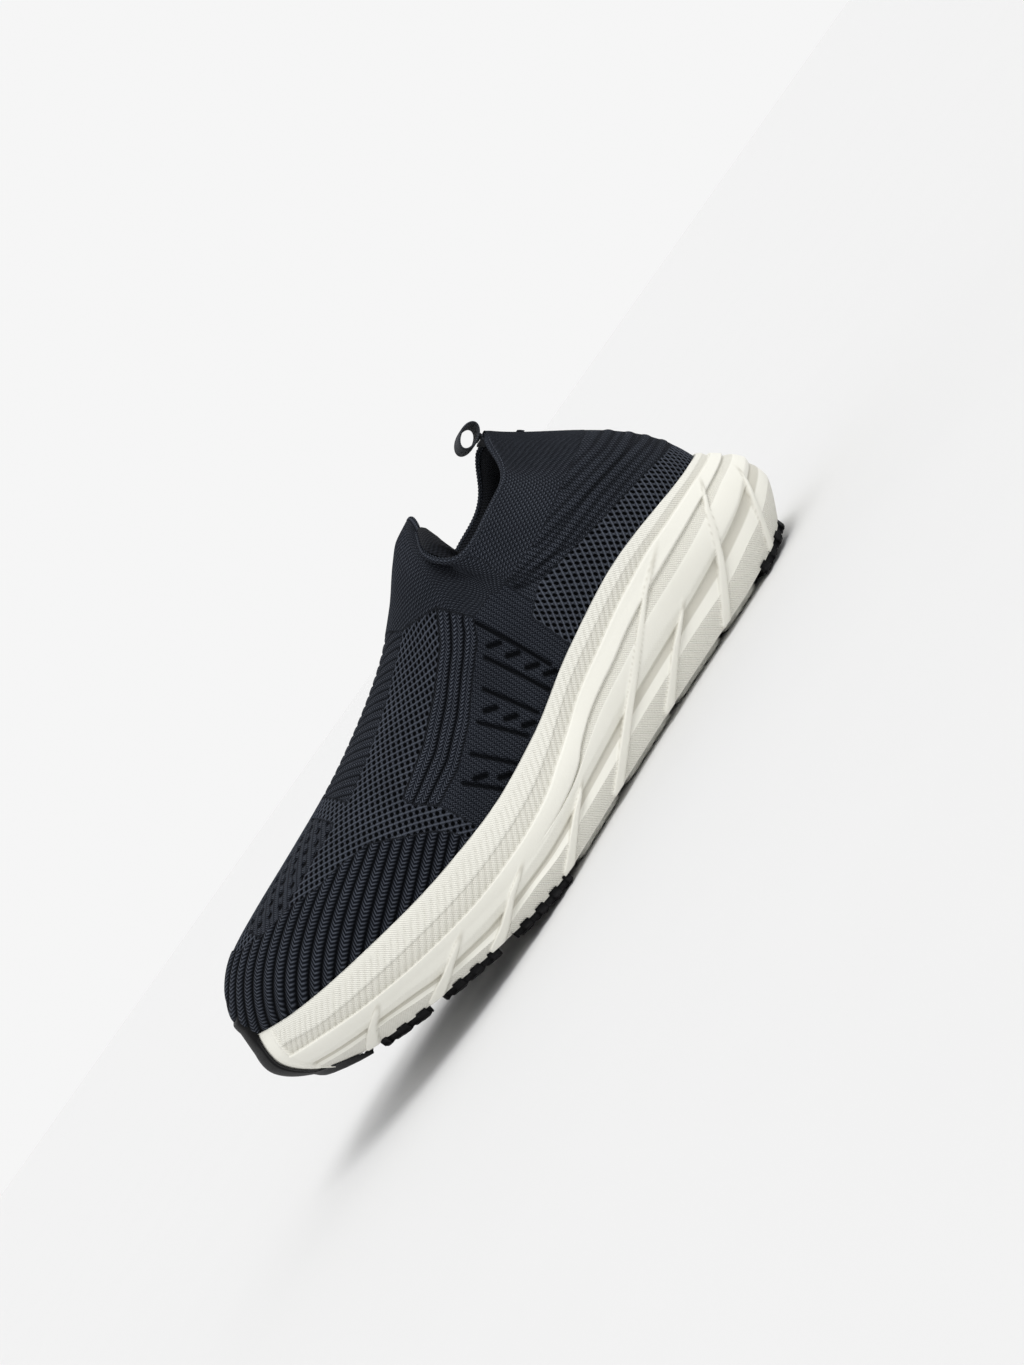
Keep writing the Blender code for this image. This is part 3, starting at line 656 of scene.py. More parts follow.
def wall_profile(ring):
    """The wall's rows: for each, its level, depth, hatching, knurling and painted shade in every column."""
    flute, slot, strip, facet, facet_top, band, band_top = (
        smooth(line, ring.s)
        for line in (FLUTE_FOOT, UNDERCUT, STRIP_FOOT, FACET_FOOT, FACET_TOP, BAND_FOOT, BAND_TOP)
    )
    opening = ramp(165 - ring.s, 40)  # the hatched facet opens rearwards of the middle
    # The shade column is painted shade: dark in the undercut slot and on the bevel over it, faint on the
    # facet, ledge and lip.
    marks = [  # (level, depth, hatching, knurling, shade, rows up to here)
        (0, 0.7, 0, 0, 0, 1),
        (flute, 0, 1, 0, 0, 11),
        (flute + SLIT, 0.1, 0, 0, 0, 2),
        ((flute + slot) / 2, FLUTE, 0, 0, 0, 7),
        (slot - SLIT, SLOT, 0, 0, 0.9, 6),
        (slot, BEVEL, 0.1, 0, 0.7, 2),
        (strip, 0.05, 0.1, 0, 0, 6),
        (facet, 0, 0, 0, 0, 8),
        (facet_top - SLIT, FACET * opening, opening, 0, 0.1 * opening, 9),
        (facet_top, 0, 0, 0, 0, 2),
        (band - SLIT / 2, 0, 0, 0, 0, 9),
        (band + SLIT / 2, LEDGE, BAND_HATCH, 0, 0.1, 2),
        (band_top - SLIT / 2, LIP, BAND_HATCH, 0, 0.15, 12),
        (band_top + SLIT / 2, 0, 0, 1, 0, 2),
        (1, 0.15, 0, 1, 0, 10),
    ]
    rows = [marks[0][:5]]
    for before, after in zip(marks, marks[1:]):
        for t in np.arange(1, after[5] + 1) / after[5]:
            rows.append([a * (1 - t) + b * t for a, b in zip(before[:2], after[:2])] + [*after[2:5]])
    return [np.array([np.broadcast_to(value, ring.count) for value in kind], float) for kind in zip(*rows)]


def raise_ribs(ring, level, depth):
    """Lifts the slanted ribs out of the wall, and says how much of each point belongs to one."""
    height = smooth(FEATHER, ring.s) - ring.foot_z()
    s = np.broadcast_to(ring.s, level.shape)
    high = level * height
    cover = np.zeros(level.shape)
    for line in RIBS:
        tall = [(a, b * float(np.interp(a, ring.s[: ring.half], height[: ring.half]))) for a, b in line]
        away, share = distance_to(s, high, tall)
        half = RIB_WIDTHS[0] + (RIB_WIDTHS[1] - RIB_WIDTHS[0]) * share
        cover = np.maximum(cover, ramp(half - away, 0.8) * ramp(0.9 - share, 0.3))
    return depth * (1 - cover) - RIB_PROUD * cover, cover


def toe_panel(ring):
    """How much of each column is the plain panel at the toe's tip, and how much is the line round it."""
    from_toe = np.abs(ring.run - ring.run[ring.half])
    return ramp(NOSE - from_toe, 1.5), np.exp(-(((from_toe - NOSE - 1.0) / 0.8) ** 2))


def sole_wall(ring):
    """Points of the foam's wall with its mouldings, and the paint and pattern that go with them."""
    level, depth, hatch, knurl, shade = wall_profile(ring)
    around = np.minimum(ring.run, ring.run[-1] - ring.run)
    high = level * (smooth(FEATHER, ring.s) - ring.foot_z())
    cuts = (np.cos(2 * np.pi * ((around + high) / CUT_PITCH)) * 0.5 + 0.5) ** 3
    cut_top = 1 - (1 - smooth(BAND_TOP, ring.s)) * 0.3
    cuts *= (hatch == BAND_HATCH) | (knurl == 1)
    cuts *= ramp(ring.s - CUTS_FROM, 30) * ramp(cut_top - level, 0.04)
    swell = BULGE * np.sin(np.pi * np.clip((level - 0.4) / 0.35, 0, 1))
    depth, cover = raise_ribs(ring, level, depth + cuts * CUT_DEPTH - swell)
    nose, edge = toe_panel(ring)
    panel = np.maximum(nose, edge)
    depth = depth * (1 - nose) * (1 - edge) + nose * NOSE_DEPTH - NOSE_EDGE * edge
    cover = np.maximum(cover, panel)
    rows = np.array([ring.wall(a, b) for a, b in zip(level, depth)])
    clear = 1 - cover
    # Painted shade: a dark line along each rib's edges, plus a little of the ribs' own darker colour over
    # them, and shade in the slanted cuts.
    rib_edge_shade_and_tint = 0.7 * np.exp(-(((cover - 0.4) / 0.25) ** 2)) * (cover > 0.02) + 0.12 * cover
    dark = shade * clear + cuts * clear * 0.3 + rib_edge_shade_and_tint * (1 - panel)
    paint = np.stack([hatch * clear, knurl * clear, dark, np.ones_like(hatch)], axis=-1)
    return rows, paint, pair(around, high)


def build_midsole(look):
    """The one-piece foam: underside, moulded wall, rolled feather edge and the cup for the foot."""
    ring = Ring(WALL_HALF)
    rows, paint, uv = sole_wall(ring)
    below = [ring.under(rows[0], share) for share in (0.5, 0.25, 0.06)]
    feather = smooth(FEATHER, ring.s)
    cup = smooth(FEATHER_INSET, ring.s) - 0.4
    lip = [ring.at(cup - inset, feather + lift) for inset, lift in ((0.8, 0.25), (0.2, 0.1), (0, -0.5))]
    points = np.concatenate([below, rows, lip, [ring.on_floor(cup, 0)]])
    on_wall = slice(len(below), len(below) + len(rows))
    all_paint, all_uv = np.zeros((*points.shape[:2], 4)), np.zeros((*points.shape[:2], 2))
    all_paint[..., 3] = 1
    all_paint[on_wall], all_uv[on_wall] = paint, uv
    blocks = closed_stack(ring, len(points))
    settle(build("foam_midsole", points, blocks, look, all_uv, all_paint), "root", "foam", "midsole")


# ---- The rubber --------------------------------------------------------------------------------------------

BUMPER_HALF_WIDTH = [(-0.35, 40), (-0.03, 45), (0.02, 40), (0.12, 19), (0.6, 15), (1.0, 13.5), (1.3, 11)]
BUMPER_PROUD, KNIT_PROUD = 0.35, 0.9  # millimetres above the foam, and further above the knit
BUMPER_TOP = 0.16  # how far above level 1 the tip ends
BUMPER_CLIMB = 24  # rows of the upper that the bumper's tip covers
BUMPER_BRIDGE = (0.8, 1.07)  # levels between which the bumper spans the foam's edge and the knit straight
BUMPER_SUNK = 0.15  # how far its edges lie in what is under them
BUMPER_CELLS = (44, 91)  # rows up to level 1, and columns
GROOVE = 0.4
TREAD = 2.3  # how far the toe's tread hangs below the foam
TREAD_LUGS, LUG_DEPTH = 4.5, 0.9


def bumper_row(upper, level, across):
    """One row of the toe rubber: under the toe below level 0, on the foam up to 1, on the knit above."""
    ring = upper.ring
    place = ring.run[ring.half] + across * line_at(BUMPER_HALF_WIDTH, level)
    if level > 1:
        base = upper.points[round((level - 1) * BUMPER_CLIMB / BUMPER_TOP)]
    else:
        base = ring.under(ring.wall(0, 0), -level) if level < 0 else ring.wall(level, 0)
    line, out = columns_at(place, ring.run, base), columns_at(place, ring.run, ring.outward)
    edge = 1 - np.abs(across) ** 10
    lift = (BUMPER_PROUD + KNIT_PROUD * (level > 1)) * edge * ramp(1.15 - level, 0.03) - BUMPER_SUNK
    groove = GROOVE * np.exp(-(((np.abs(across) - 0.86) / 0.035) ** 2)) * (0.1 < level < 1)
    below = float(ramp(-level, 0.05))
    line[:, :2] += out * ((lift - groove) * (1 - below))[:, None]
    lugs = LUG_DEPTH * ramp(np.abs((across * TREAD_LUGS) % 1 - 0.5) - 0.14, 0.12) * ramp(-level - 0.06, 0.06)
    line[:, 2] -= (TREAD - lugs) * below * ramp(1 - np.abs(across), 0.05)
    return line


def build_toe_rubber(look):
    """The black bumper that climbs the toe, and the tread below it, as one moulding."""
    upper = Upper(WALL_HALF, 60)
    climb = BUMPER_TOP * np.arange(1, BUMPER_CLIMB + 1) / BUMPER_CLIMB
    levels = np.concatenate([np.linspace(BUMPER_HALF_WIDTH[0][0], 1, BUMPER_CELLS[0]), 1 + climb])
    across = np.linspace(-1, 1, BUMPER_CELLS[1])
    rows = np.array([bumper_row(upper, level, across) for level in levels])
    first, last = np.searchsorted(levels, BUMPER_BRIDGE)
    straight = np.linspace(rows[first], rows[last], last - first + 1)
    rows[first : last + 1] += (straight - rows[first : last + 1]) * (1 - np.abs(across) ** 10)[None, :, None]
    blocks = [grid_faces(len(levels), len(across), closed=False)]
    settle(build("toe_bumper", rows, blocks, look), "root", "rubber_black", "toe_rubber")


def edge_line(ring, side, inset):
    """A line inside the foam's bottom edge on one side, heel to toe. side is 1 outside, -1 inside."""
    edge = ring.plan - ring.outward * (smooth(BOTTOM_INSET, ring.s) + inset)[:, None]
    return edge[1 : ring.half] if side > 0 else edge[: ring.half : -1]


MIDLINE = -0.5  # y of the line that the pods' channel follows
POD_CELLS = (84, 36)
POD_WIDE = 30  # about a pod's width, from which its bevels are measured
POD_ROUND = 5.0  # radius of a white pod's outer corners
POD_WAVE, POD_WAVE_PITCH = 0.27, 9.0  # of a white pod's outer edge
POD_BEVEL = 0.7
POD_SUNK = {"white": 0.2, "black": 0.8}  # how far the pod goes up into the foam
SIPE_DEPTH = {"white": 0.8, "black": 1.3}
LUG_PITCH = 7.5
NOTCH = 1.3  # how far the black pods' edges step in and out


def pod_reach(colour, along_it, from_end):
    """How far a pod's outer edge stands out past its line, which rounds white pods and steps black ones."""
    if colour == "black":
        return 1.4 - NOTCH * ramp(np.sin(2 * np.pi * along_it / LUG_PITCH), 0.5)
    corner = POD_ROUND * (1 - np.sqrt(1 - np.clip(1 - from_end / POD_ROUND, 0, 1) ** 2))
    return POD_WAVE * np.cos(2 * np.pi * along_it / POD_WAVE_PITCH) - 0.4 - corner


def build_pod(name, side, word, spec, look):
    """One outsole pod: a plate with bevelled edges, sipes and, on black ones, stepped lugs."""
    rear, front, skew, colour = spec
    line = edge_line(Ring(160), side, POD_EDGE[colour])
    a, b = np.meshgrid(*(np.linspace(0, 1, cells + 1) for cells in POD_CELLS), indexing="ij")
    mid_s = rear + (front - rear) * a
    from_end = np.minimum(a, 1 - a) * (front - rear)
    out = np.interp(mid_s, line[:, 0], line[:, 1]) + side * pod_reach(colour, mid_s, from_end)
    middle = MIDLINE + side * CHANNEL
    y = out + (middle - out) * b
    s = mid_s + skew * b
    rim = np.minimum(np.minimum(from_end, (1 - b) * POD_WIDE), b * POD_WIDE)
    from_sipe = np.abs((mid_s / LUG_PITCH + b * 1.5) % 1 - 0.5) * LUG_PITCH / 3
    sipe = ramp(0.32 - from_sipe, 0.3) * ramp(rim - 0.8, 0.6)
    bevel = POD_BEVEL * (1 - ramp(rim - 0.35, 0.7))
    ground = smooth(GROUND, s)
    heights = (ground + POD_HEIGHT + POD_SUNK[colour], ground + bevel + sipe * SIPE_DEPTH[colour])
    points = np.stack([np.stack([s, y, z], -1) for z in heights])
    blocks = plate_faces(POD_CELLS[0] + 1, POD_CELLS[1] + 1, flip=side > 0)
    settle(build(f"{name}_{word}_tread", points, blocks, look), "root", f"rubber_{colour}", f"{name}_{word}")


def plate_faces(rows, columns, flip):
    """Faces of two matching grids, the first on top, and the band round their edges."""
    top = grid_faces(rows, columns, closed=False, flip=flip)
    count = rows * columns
    rim = [(i, 0) for i in range(rows - 1)] + [(rows - 1, j) for j in range(columns - 1)]
    rim += [(i, columns - 1) for i in range(rows - 1, 0, -1)] + [(0, j) for j in range(columns - 1, 0, -1)]
    a = np.array([i * columns + j for i, j in rim])
    b = np.roll(a, -1)
    band = np.stack([a, b, b + count, a + count], axis=-1)
    return [top, top[:, ::-1] + count, band if flip else band[:, ::-1]]


def build_pods(looks):
    """All the pods, each in its colour's look."""
    for name, spec in PODS.items():
        for word, side in SIDES:
            build_pod(name, side, word, spec, looks[spec[3]])


# ---- The upper's grid --------------------------------------------------------------------------------------

# How the upper's columns bend, by the place of their ends: 0 at the heel, 1 at the instep, 2 at the toe.
BEND_OUT = [(0, -1.0), (0.3, 2.0), (1, 1.0), (1.5, 5.0), (2, 3.0)]  # outwards, low down
FILL = [(0.6, 0), (0.8, 5), (0.92, 4), (1, 0)]  # outwards, under the collar
HANG = [(0.6, 0.3), (0.85, 0.2), (1, 0.2)]  # down from the collar, as a share of the height
FLAT_TOP = [(1, 0.45), (1.3, 0.5), (1.7, 0.62), (2, 0.6)]  # across from the ridge, as a share of the width


def whole_collar():
    """Dense points round the collar, from the heel over the outer side, and each given point's index."""
    return loop_spline(COLLAR + [(s, -y, z) for s, y, z in COLLAR[-2:0:-1]])


class Upper:
    """The upper's outer face as a grid of points, and the distances on it that the knit's zones follow."""

    def __init__(self, half, rows):
        self.ring = Ring(half)
        self.half, self.count, self.rows = half, 2 * half, rows
        self.ends, self.place = self.find_ends()
        self.points = self.fill(rows)
        self.front = int(np.argmax(self.place[: half + 1] >= 1))
        self.faces = self.find_faces()
        self.normals = self.ease(normals_of(self.points.reshape(-1, 3), [self.faces]))

    def find_ends(self):
        """Where each column ends on the collar or the ridge, and that end's place from 0 to 2."""
        ring = self.ring
        place = smooth(COLUMN_END, (ring.plan[:, 0] + ring.plan[ring.partner, 0]) / 2)
        corner = int(np.argmin(np.abs(place[: self.half] - 1)))
        place[[corner, self.count - corner]] = 1.0
        collar, knots = whole_collar()
        collar = collar[: knots[len(COLLAR) - 1] + 1]
        ridge_s = np.linspace(RIDGE[0][0], RIDGE_END, 800)
        ridge = np.column_stack([ridge_s, smooth(RIDGE_Y, ridge_s), smooth(RIDGE, ridge_s)])
        on_collar = along(collar, np.clip(place, 0, 1))
        ends = np.where(place[:, None] < 1, on_collar, along(ridge, np.clip(place - 1, 0, 1)))
        ends[(np.arange(self.count) > self.half) & (place < 1), 1] *= -1
        return ends, place

    def fill(self, rows):
        """Rows of points from the feather line to each column's end."""
        ring, ends, place = self.ring, self.ends, self.place
        start = ring.at(smooth(FEATHER_INSET, ring.s), smooth(FEATHER, ring.s) - 0.5)
        rise = (ends[:, 2] - start[:, 2])[:, None]
        back = start - ends
        back[:, 2] = 0
        up = np.array([0, 0, 1.0])
        out = np.column_stack([ring.outward, np.zeros(self.count)])
        bulge, fill, hang, flat = (line_at(line, place)[:, None] for line in (BEND_OUT, FILL, HANG, FLAT_TOP))
        first = start + up * rise * 0.42 + out * bulge
        on_collar = ends + back * 0.30 - up * rise * hang + out * fill
        on_ridge = ends + back * flat
        on_ridge[:, 2] = smooth(RIDGE, on_ridge[:, 0])
        below_edge = np.minimum(on_ridge[:, 2], ends[:, 2] - 2)
        on_ridge[:, 2] = np.where(place < 1, below_edge, on_ridge[:, 2])
        blend = ramp(place - 0.91, 0.18)[:, None]
        second = on_collar + (on_ridge - on_collar) * blend
        grid = []
        for t in np.linspace(0, 1, rows):
            bend = start * (1 - t) ** 3 + first * 3 * t * (1 - t) ** 2 + second * 3 * t**2 * (1 - t)
            grid.append(bend + ends * t**3)
        return np.array(grid)

    def find_faces(self):
        """Quads, with the ridge's points shared by the two sides. Face k is at row k // count."""
        faces = grid_faces(self.rows, self.count)
        last = (self.rows - 1) * self.count
        shared = np.arange(self.rows * self.count)
        for c in range(self.half + 1, self.count):
            if self.place[c] >= 1:
                shared[last + c] = last + self.count - c
        return shared[faces]

    def ease(self, normals):
        """The normals averaged along the ring, a little, so that tight corners don't fold."""
        grid = normals.reshape(self.rows, self.count, 3)
        reach = max(1, self.half // 88)
        mean = sum(np.roll(grid, k, 1) * (reach + 1 - abs(k)) for k in range(-reach, reach + 1))
        return unit(mean)

    def columns(self, low, high):
        """The faces whose columns lie between two shares of the way from heel to toe, on both sides."""
        column = np.arange(len(self.faces)) % self.count
        share = np.minimum(column, self.count - 1 - column) / self.half
        return self.faces[(share >= low) & (share < high)]

    def measure(self):
        """Distances over the surface: q across from the ridge, dt down from the collar or ridge."""
        grid = self.points
        step = np.linalg.norm(np.diff(grid, axis=0), axis=2)
        climbed = np.concatenate([np.zeros((1, self.count)), np.cumsum(step, 0)])
        self.from_top = climbed[-1] - climbed
        sideways = unit(np.cross(self.normals, [1.0, 0, 0]))
        sideways *= np.where(sideways[..., 2] > 0, -1, 1)[..., None]
        q = np.zeros(grid.shape[:2])
        top, across = grid[-1], sideways[-1]
        for c in range(self.front - 1, -1, -1):
            q[-1, c] = q[-1, c + 1] + (top[c] - top[c + 1]) @ (across[c] + across[c + 1]) / 2
        for c in range(self.count - self.front + 1, self.count):
            q[-1, c] = q[-1, c - 1] + (top[c] - top[c - 1]) @ (across[c] + across[c - 1]) / 2
        for r in range(self.rows - 2, -1, -1):
            drop = grid[r] - grid[r + 1]
            q[r] = q[r + 1] + (drop * (sideways[r] + sideways[r + 1]) / 2).sum(1)
        self.q = q
        for _ in range(3):
            reach = self.half // 25
            window = sum(np.roll(self.q, k, 1) for k in range(-reach, reach + 1)) / (2 * reach + 1)
            self.q = self.q + (window - self.q) * ramp(self.place - 1.12, 0.2)


def cut_out(points, faces, *fields):
    """Only the points that the faces use, the faces renumbered, and each field's values at those points."""
    used, corners = np.unique(faces, return_inverse=True)
    return points[used], corners.reshape(faces.shape), [field[used] for field in fields]


# ---- The knit ----------------------------------------------------------------------------------------------

TOE_LINE = [(195, 0), (195.5, 40), (197.3, 46), (200.4, 51), (204.3, 54.8), (207.4, 57.6), (211.5, 62),
            (216, 66.6), (228, 70.3), (238, 71.9), (248, 75.5), (262, 77.7), (270, 80.7), (273, 120)]
VAMP_EDGE = [(128, 18), (140, 17), (153, 16.8), (165, 19.7), (178, 23), (190.6, 25.4), (201.6, 27.6)]
SIDE_TOP = [(128.1, 94.6), (139.5, 86), (156.1, 78), (175.1, 70.7), (195.9, 66.1)]
SIDE_FOOT = [(124.7, 81.5), (131.2, 75.7), (144.3, 69.6), (160.6, 61.3), (176.3, 55.9), (191.6, 54.3)]
SIDE_FRONT = [(40, 190), (54.3, 191.6), (62, 196), (66, 196)]  # s at a height
SIDE_REAR = [(75.7, 131), (81.5, 124.7), (94.6, 128.5)]
COLLAR_FRONT = [(79, 118), (81.5, 124.7), (94.6, 128), (97.5, 134.5), (100, 141), (123, 141)]
COLLAR_REAR = [(79.4, 107.2), (91.5, 105.1), (97.3, 108.2), (123, 108.2)]
TONGUE_START = 0.72  # the place on the collar from which its edge belongs to the tongue
FAN_TOP = [(20, 88), (40, 86), (62, 83), (84, 79.4), (107, 79.4), (113, 76)]
MESH_TOP = [(0, 55), (24.9, 57.3), (49, 61.3), (69.4, 64.1), (88.8, 67.4), (100.9, 69.5), (112.9, 64.5)]
HEEL_SLOPE = [(-22, 10), (-10, 14), (5, 27), (20, 47), (40, 80), (54, 102), (80, 128), (100, 151), (120, 182)]
FAN_RIDGES = [
    [(104.5, 77.2), (82.5, 72.3), (55.6, 70.9), (17.6, 66.5), (-40, 66)],
    [(101.6, 75.1), (79.3, 65.3), (49.2, 62.4), (24.5, 60), (-40, 59.5)],
    [(83.7, 79.4), (62.3, 76), (32.3, 72.5), (-40, 72)],
    [(55.6, 83.3), (28.1, 79.5), (-40, 79)],
]
PANEL_GROOVES = [
    [(179.7, 51.5), (173.6, 39.1)], [(169, 54.8), (162.5, 39.9)], [(157.5, 59), (151.4, 41.9)],
    [(145.8, 63.9), (141.7, 43.4)], [(135.2, 69.9), (132, 44.5)], [(125.8, 80), (123.7, 49.2)],
]
PANEL_MARKS = [(174.3, 47.8), (168.8, 40.6), (150.9, 58.1), (149.1, 50.4), (147.3, 43.6), (129.3, 70),
               (128.6, 62.4), (128.2, 54.2), (126.2, 47.4)]
MARK_REACH = (1.6, 1.2)  # from a mark's middle to its end, in s and in height
# Each cut's last value is how dark the shade painted into its groove or mark goes.
GROOVE_CUT = (0.95, 0.8, 0.55, 0.9)  # half-width, softness of its edge, depth, and how dark it goes
MARK_CUT = (1.2, 0.9, 0.5, 0.95)
TOE_RIB, CHEVRON = 4.4, 1.3
VAMP_PITCH = 4.0
MESH = (3.5, 3.4)  # twice the pitch of the staggered holes, along and across
HEEL_MESH = (2.9, 4.0)
VENTS = (8.6, 7.6)
VENT_AREA = (215, 262, 6, 27)  # s from and to, and distance from the ridge from and to
VENT_MESH = (204, 272)  # s of the ends of the mesh round the vents
VAMP_FRONT = 206
SIDE_RIBS = 3
SIDE_REAR_TOP = 128
TOE_TURN, TOE_TURN_RADIUS = (265, 45), 30  # the (s, height) that the toe's ribs turn down round
TOE_SPREAD, TOE_SPREAD_FROM = 0.004, 215  # the ribs' spread for each millimetre forward of an s
STITCH = 1.1  # pitch of the plain knit's stitches
FINE = 1.75  # pitch of the plain knit's fine ribs
HEEL_PITCH = 1.9
COLLAR_PITCH, COLLAR_STITCHES = 1.7, 85  # pitch of the rows under the collar, and stitches round half of it
COLLAR_FOOT = 79.5
FAN_FRONT = 108
PANEL_REAR = 113
SOFT = 0.9  # how gradually one zone turns into the next


def rib(phase, sharpness=4):
    """A rounded rib for each whole number, with a narrow groove between ribs."""
    return 1 - np.abs(np.cos(np.pi * phase)) ** sharpness


def staggered(run, over):
    """1 at the middle of each hole of a staggered pattern, down to -1 between holes."""
    return np.cos(2 * np.pi * run) * np.cos(2 * np.pi * over)


def round_heel(ring):
    """Each column's distance round the heel: the same as s at its sides, and less than nothing behind it."""
    arc = np.minimum(ring.run, ring.run[-1] - ring.run)
    return arc + 60 - np.interp(60, ring.s[: ring.half], arc[: ring.half])


def zone(*gaps, width=SOFT):
    """1 where every one of the gaps is above nothing, with a soft edge."""
    return ramp(np.minimum.reduce(np.broadcast_arrays(*gaps)), width)


class Knit:
    """The knit's height, stitch coordinates and paint over the upper's grid, laid zone over zone."""

    def __init__(self, upper):
        self.s, self.z = upper.points[..., 0], upper.points[..., 2]
        self.q, self.dt = upper.q, upper.from_top
        self.place = np.broadcast_to(upper.place, self.s.shape)
        self.round = np.broadcast_to(round_heel(upper.ring), self.s.shape)
        shape = self.s.shape
        self.height = np.zeros(shape)
        self.run = self.z / STITCH
        self.rib = self.s / FINE
        self.chevron = np.full(shape, 0.7)
        # How much of the stitches' colour shows; where this is lower, shade is painted into grooves, gaps and
        # holes.
        self.open = np.full(shape, 0.9)
        self.mesh = np.zeros(shape)
        # How bright the stitches come out in each zone: partly the zone's own yarn and partly painted light,
        # lighter round the heel and darker at the toe.
        self.tone = np.ones(shape)

    def lay(self, weight, run, across, height=0.0, chevron=1.0, unshaded_=1.0, mesh=0.0, tone=1.0):
        """Lays one zone where its weight is 1. A low unshaded share paints shade into its grooves and gaps;
        the last value sets how bright its stitches come out, partly their own yarn and partly painted light.
        """
        self.run = np.where(weight > 0.5, run, self.run)
        self.rib = np.where(weight > 0.5, across, self.rib)
        laid = {"height": height, "chevron": chevron, "open": unshaded_, "mesh": mesh, "tone": tone}
        for name, value in laid.items():
            setattr(self, name, getattr(self, name) * (1 - weight) + value * weight)

    def lay_mesh(self, weight, pitches, along_it, across, depth, tone=1.0):
        """Lays a zone of staggered holes, with a little shade painted into them."""
        run, over = along_it / pitches[0], across / pitches[1]
        holes = ramp(staggered(run, over) - 0.25, 0.6)
        self.lay(weight, run, over, -depth * holes, 0.0, 1 - 0.15 * holes, 1.0, tone)

    def lay_all(self):
        """Lays every zone, from the heel forwards, the later ones over the earlier."""
        s, z, q = self.s, self.z, self.q
        top, foot = line_at(SIDE_TOP, s), line_at(SIDE_FOOT, s)
        front, rear = line_at(SIDE_FRONT, z), line_at(SIDE_REAR, z)
        self.lay_heel()
        toe = self.toe_weight()
        ahead = zone(s - np.where(z < top, front, SIDE_REAR_TOP))
        behind = zone(s - line_at(COLLAR_FRONT, z))
        net = ahead * behind * (1 - toe) * ramp(VAMP_FRONT + 14 * ramp(q - 26, 12) - s, 2)
        self.lay_mesh(net, MESH, s, q, 0.5, 0.65)
        self.lay_vents(1 - toe)
        vamp = zone(line_at(VAMP_EDGE, s) - q, VAMP_FRONT - s) * behind
        slant = (s + 0.35 * q) / VAMP_PITCH
        groove = 1 - rib(slant, 8)
        # Painted shade in the vamp's slanted grooves.
        self.lay(vamp, q / CHEVRON, slant * 2, -0.45 * groove, 0.8, 1 - 0.75 * groove, tone=0.8)
        inside = zone(top - z, z - foot, front - s, s - rear)
        share = (z - foot) / np.maximum(top - foot, 1)
        ribs = rib(share * SIDE_RIBS, 6)
        # Painted shade between the side ribs.
        self.lay(inside, s / CHEVRON, share * 2 * SIDE_RIBS, 0.5 * ribs, 1.0, 0.1 + 0.9 * ribs, tone=0.75)
        self.lay_toe(toe)
        self.lay_panel(foot, front)

    def lay_toe(self, weight):
        """The chevron ribs, which run forward over the toe and turn down at its tip."""
        s, z, q = self.s, self.z, self.q
        past = np.maximum(s - TOE_TURN[0], 0)
        turned = TOE_TURN_RADIUS * np.arctan2(past, np.maximum(z - TOE_TURN[1], 1)) - past
        along_rib = s + turned * ramp(30 - q, 20)
        across = q / (1 + TOE_SPREAD * (s - TOE_SPREAD_FROM)) / TOE_RIB
        ribs = rib(across, 5)
        # Painted shade in the grooves between the toe's ribs; the toe's stitches also come out darker, partly
        # painted shade.
        self.lay(weight, along_rib / CHEVRON, across, 0.55 * ribs - 0.1, 1.0, 0.06 + 0.94 * ribs, tone=0.6)

    def lay_vents(self, weight):
        """The few large holes over the toes, and the mesh beside them."""
        rear, front, low, high = VENT_AREA
        s, q = self.s, self.q
        area = zone(s - rear, front - s, q - low, high - q, width=1.5)
        beside = zone(s - VENT_MESH[0], VENT_MESH[1] - s, width=2)
        self.lay_mesh(beside * weight, MESH, s, q, 0.4, 0.65)
        holes = ramp(staggered(s / VENTS[0], q / VENTS[1]) - 0.5, 0.5)
        # Painted shade: the large holes go dark.
        unshaded_ = 0.9 - 0.85 * holes
        self.lay(area * weight, (s + q) / CHEVRON, (s - q) / MESH[1], -0.7 * holes, 1.0, unshaded_, tone=0.85)

    def toe_weight(self):
        """1 on the toe's ribs, which lie under the toe line."""
        return zone(line_at(TOE_LINE, self.s) - self.z)

    def lay_heel(self):
        """The plain, slanted, fanned and holed mesh zones round the heel, and the ribs along the collar."""
        s, z, around = self.s, self.z, self.round
        slant = (z + smooth(HEEL_SLOPE, around)) / HEEL_PITCH
        fan_top = line_at(FAN_TOP, s)
        mesh_top = line_at(MESH_TOP, s)
        tongue = self.place > TONGUE_START
        upper_heel = zone(COLLAR_REAR[-1][1] - s, z - fan_top) * (1 - tongue)
        ribs = rib(slant, 2)
        # The heel's upper stitches come out lighter, partly a painted sheen.
        self.lay(upper_heel, around / STITCH, slant, 0.2 * ribs, 0.8, 0.7 + 0.3 * ribs, tone=1.1)
        fan = zone(fan_top - z, z - mesh_top, FAN_FRONT - s)
        fine = rib(around / HEEL_PITCH, 2)
        self.lay(fan, z / STITCH, around / HEEL_PITCH, 0.12 * fine, 0.8, 0.75 + 0.25 * fine, tone=1.05)
        for line in FAN_RIDGES:
            away = distance_to(around, z, line)[0]
            self.height += 0.4 * ramp(1.2 - away, 1.8) * fan
            # Painted shade along each side of the fan's ridges.
            self.open *= 1 - 0.5 * ramp(0.8 - np.abs(away - 2.0), 0.8) * fan
        past_rear = np.where(tongue, 10, s - line_at(COLLAR_REAR, z))
        collar = zone(line_at(COLLAR_FRONT, z) - s, past_rear, z - COLLAR_FOOT)
        rows = self.dt / COLLAR_PITCH
        rings = rib(rows, 2)
        self.lay(collar, self.place * COLLAR_STITCHES, rows, 0.2 * rings, 0.8, 0.65 + 0.35 * rings, tone=1.0)
        net = zone(mesh_top - z, PANEL_REAR - s)
        self.lay_mesh(net, HEEL_MESH, around, z, 0.45, 0.8)

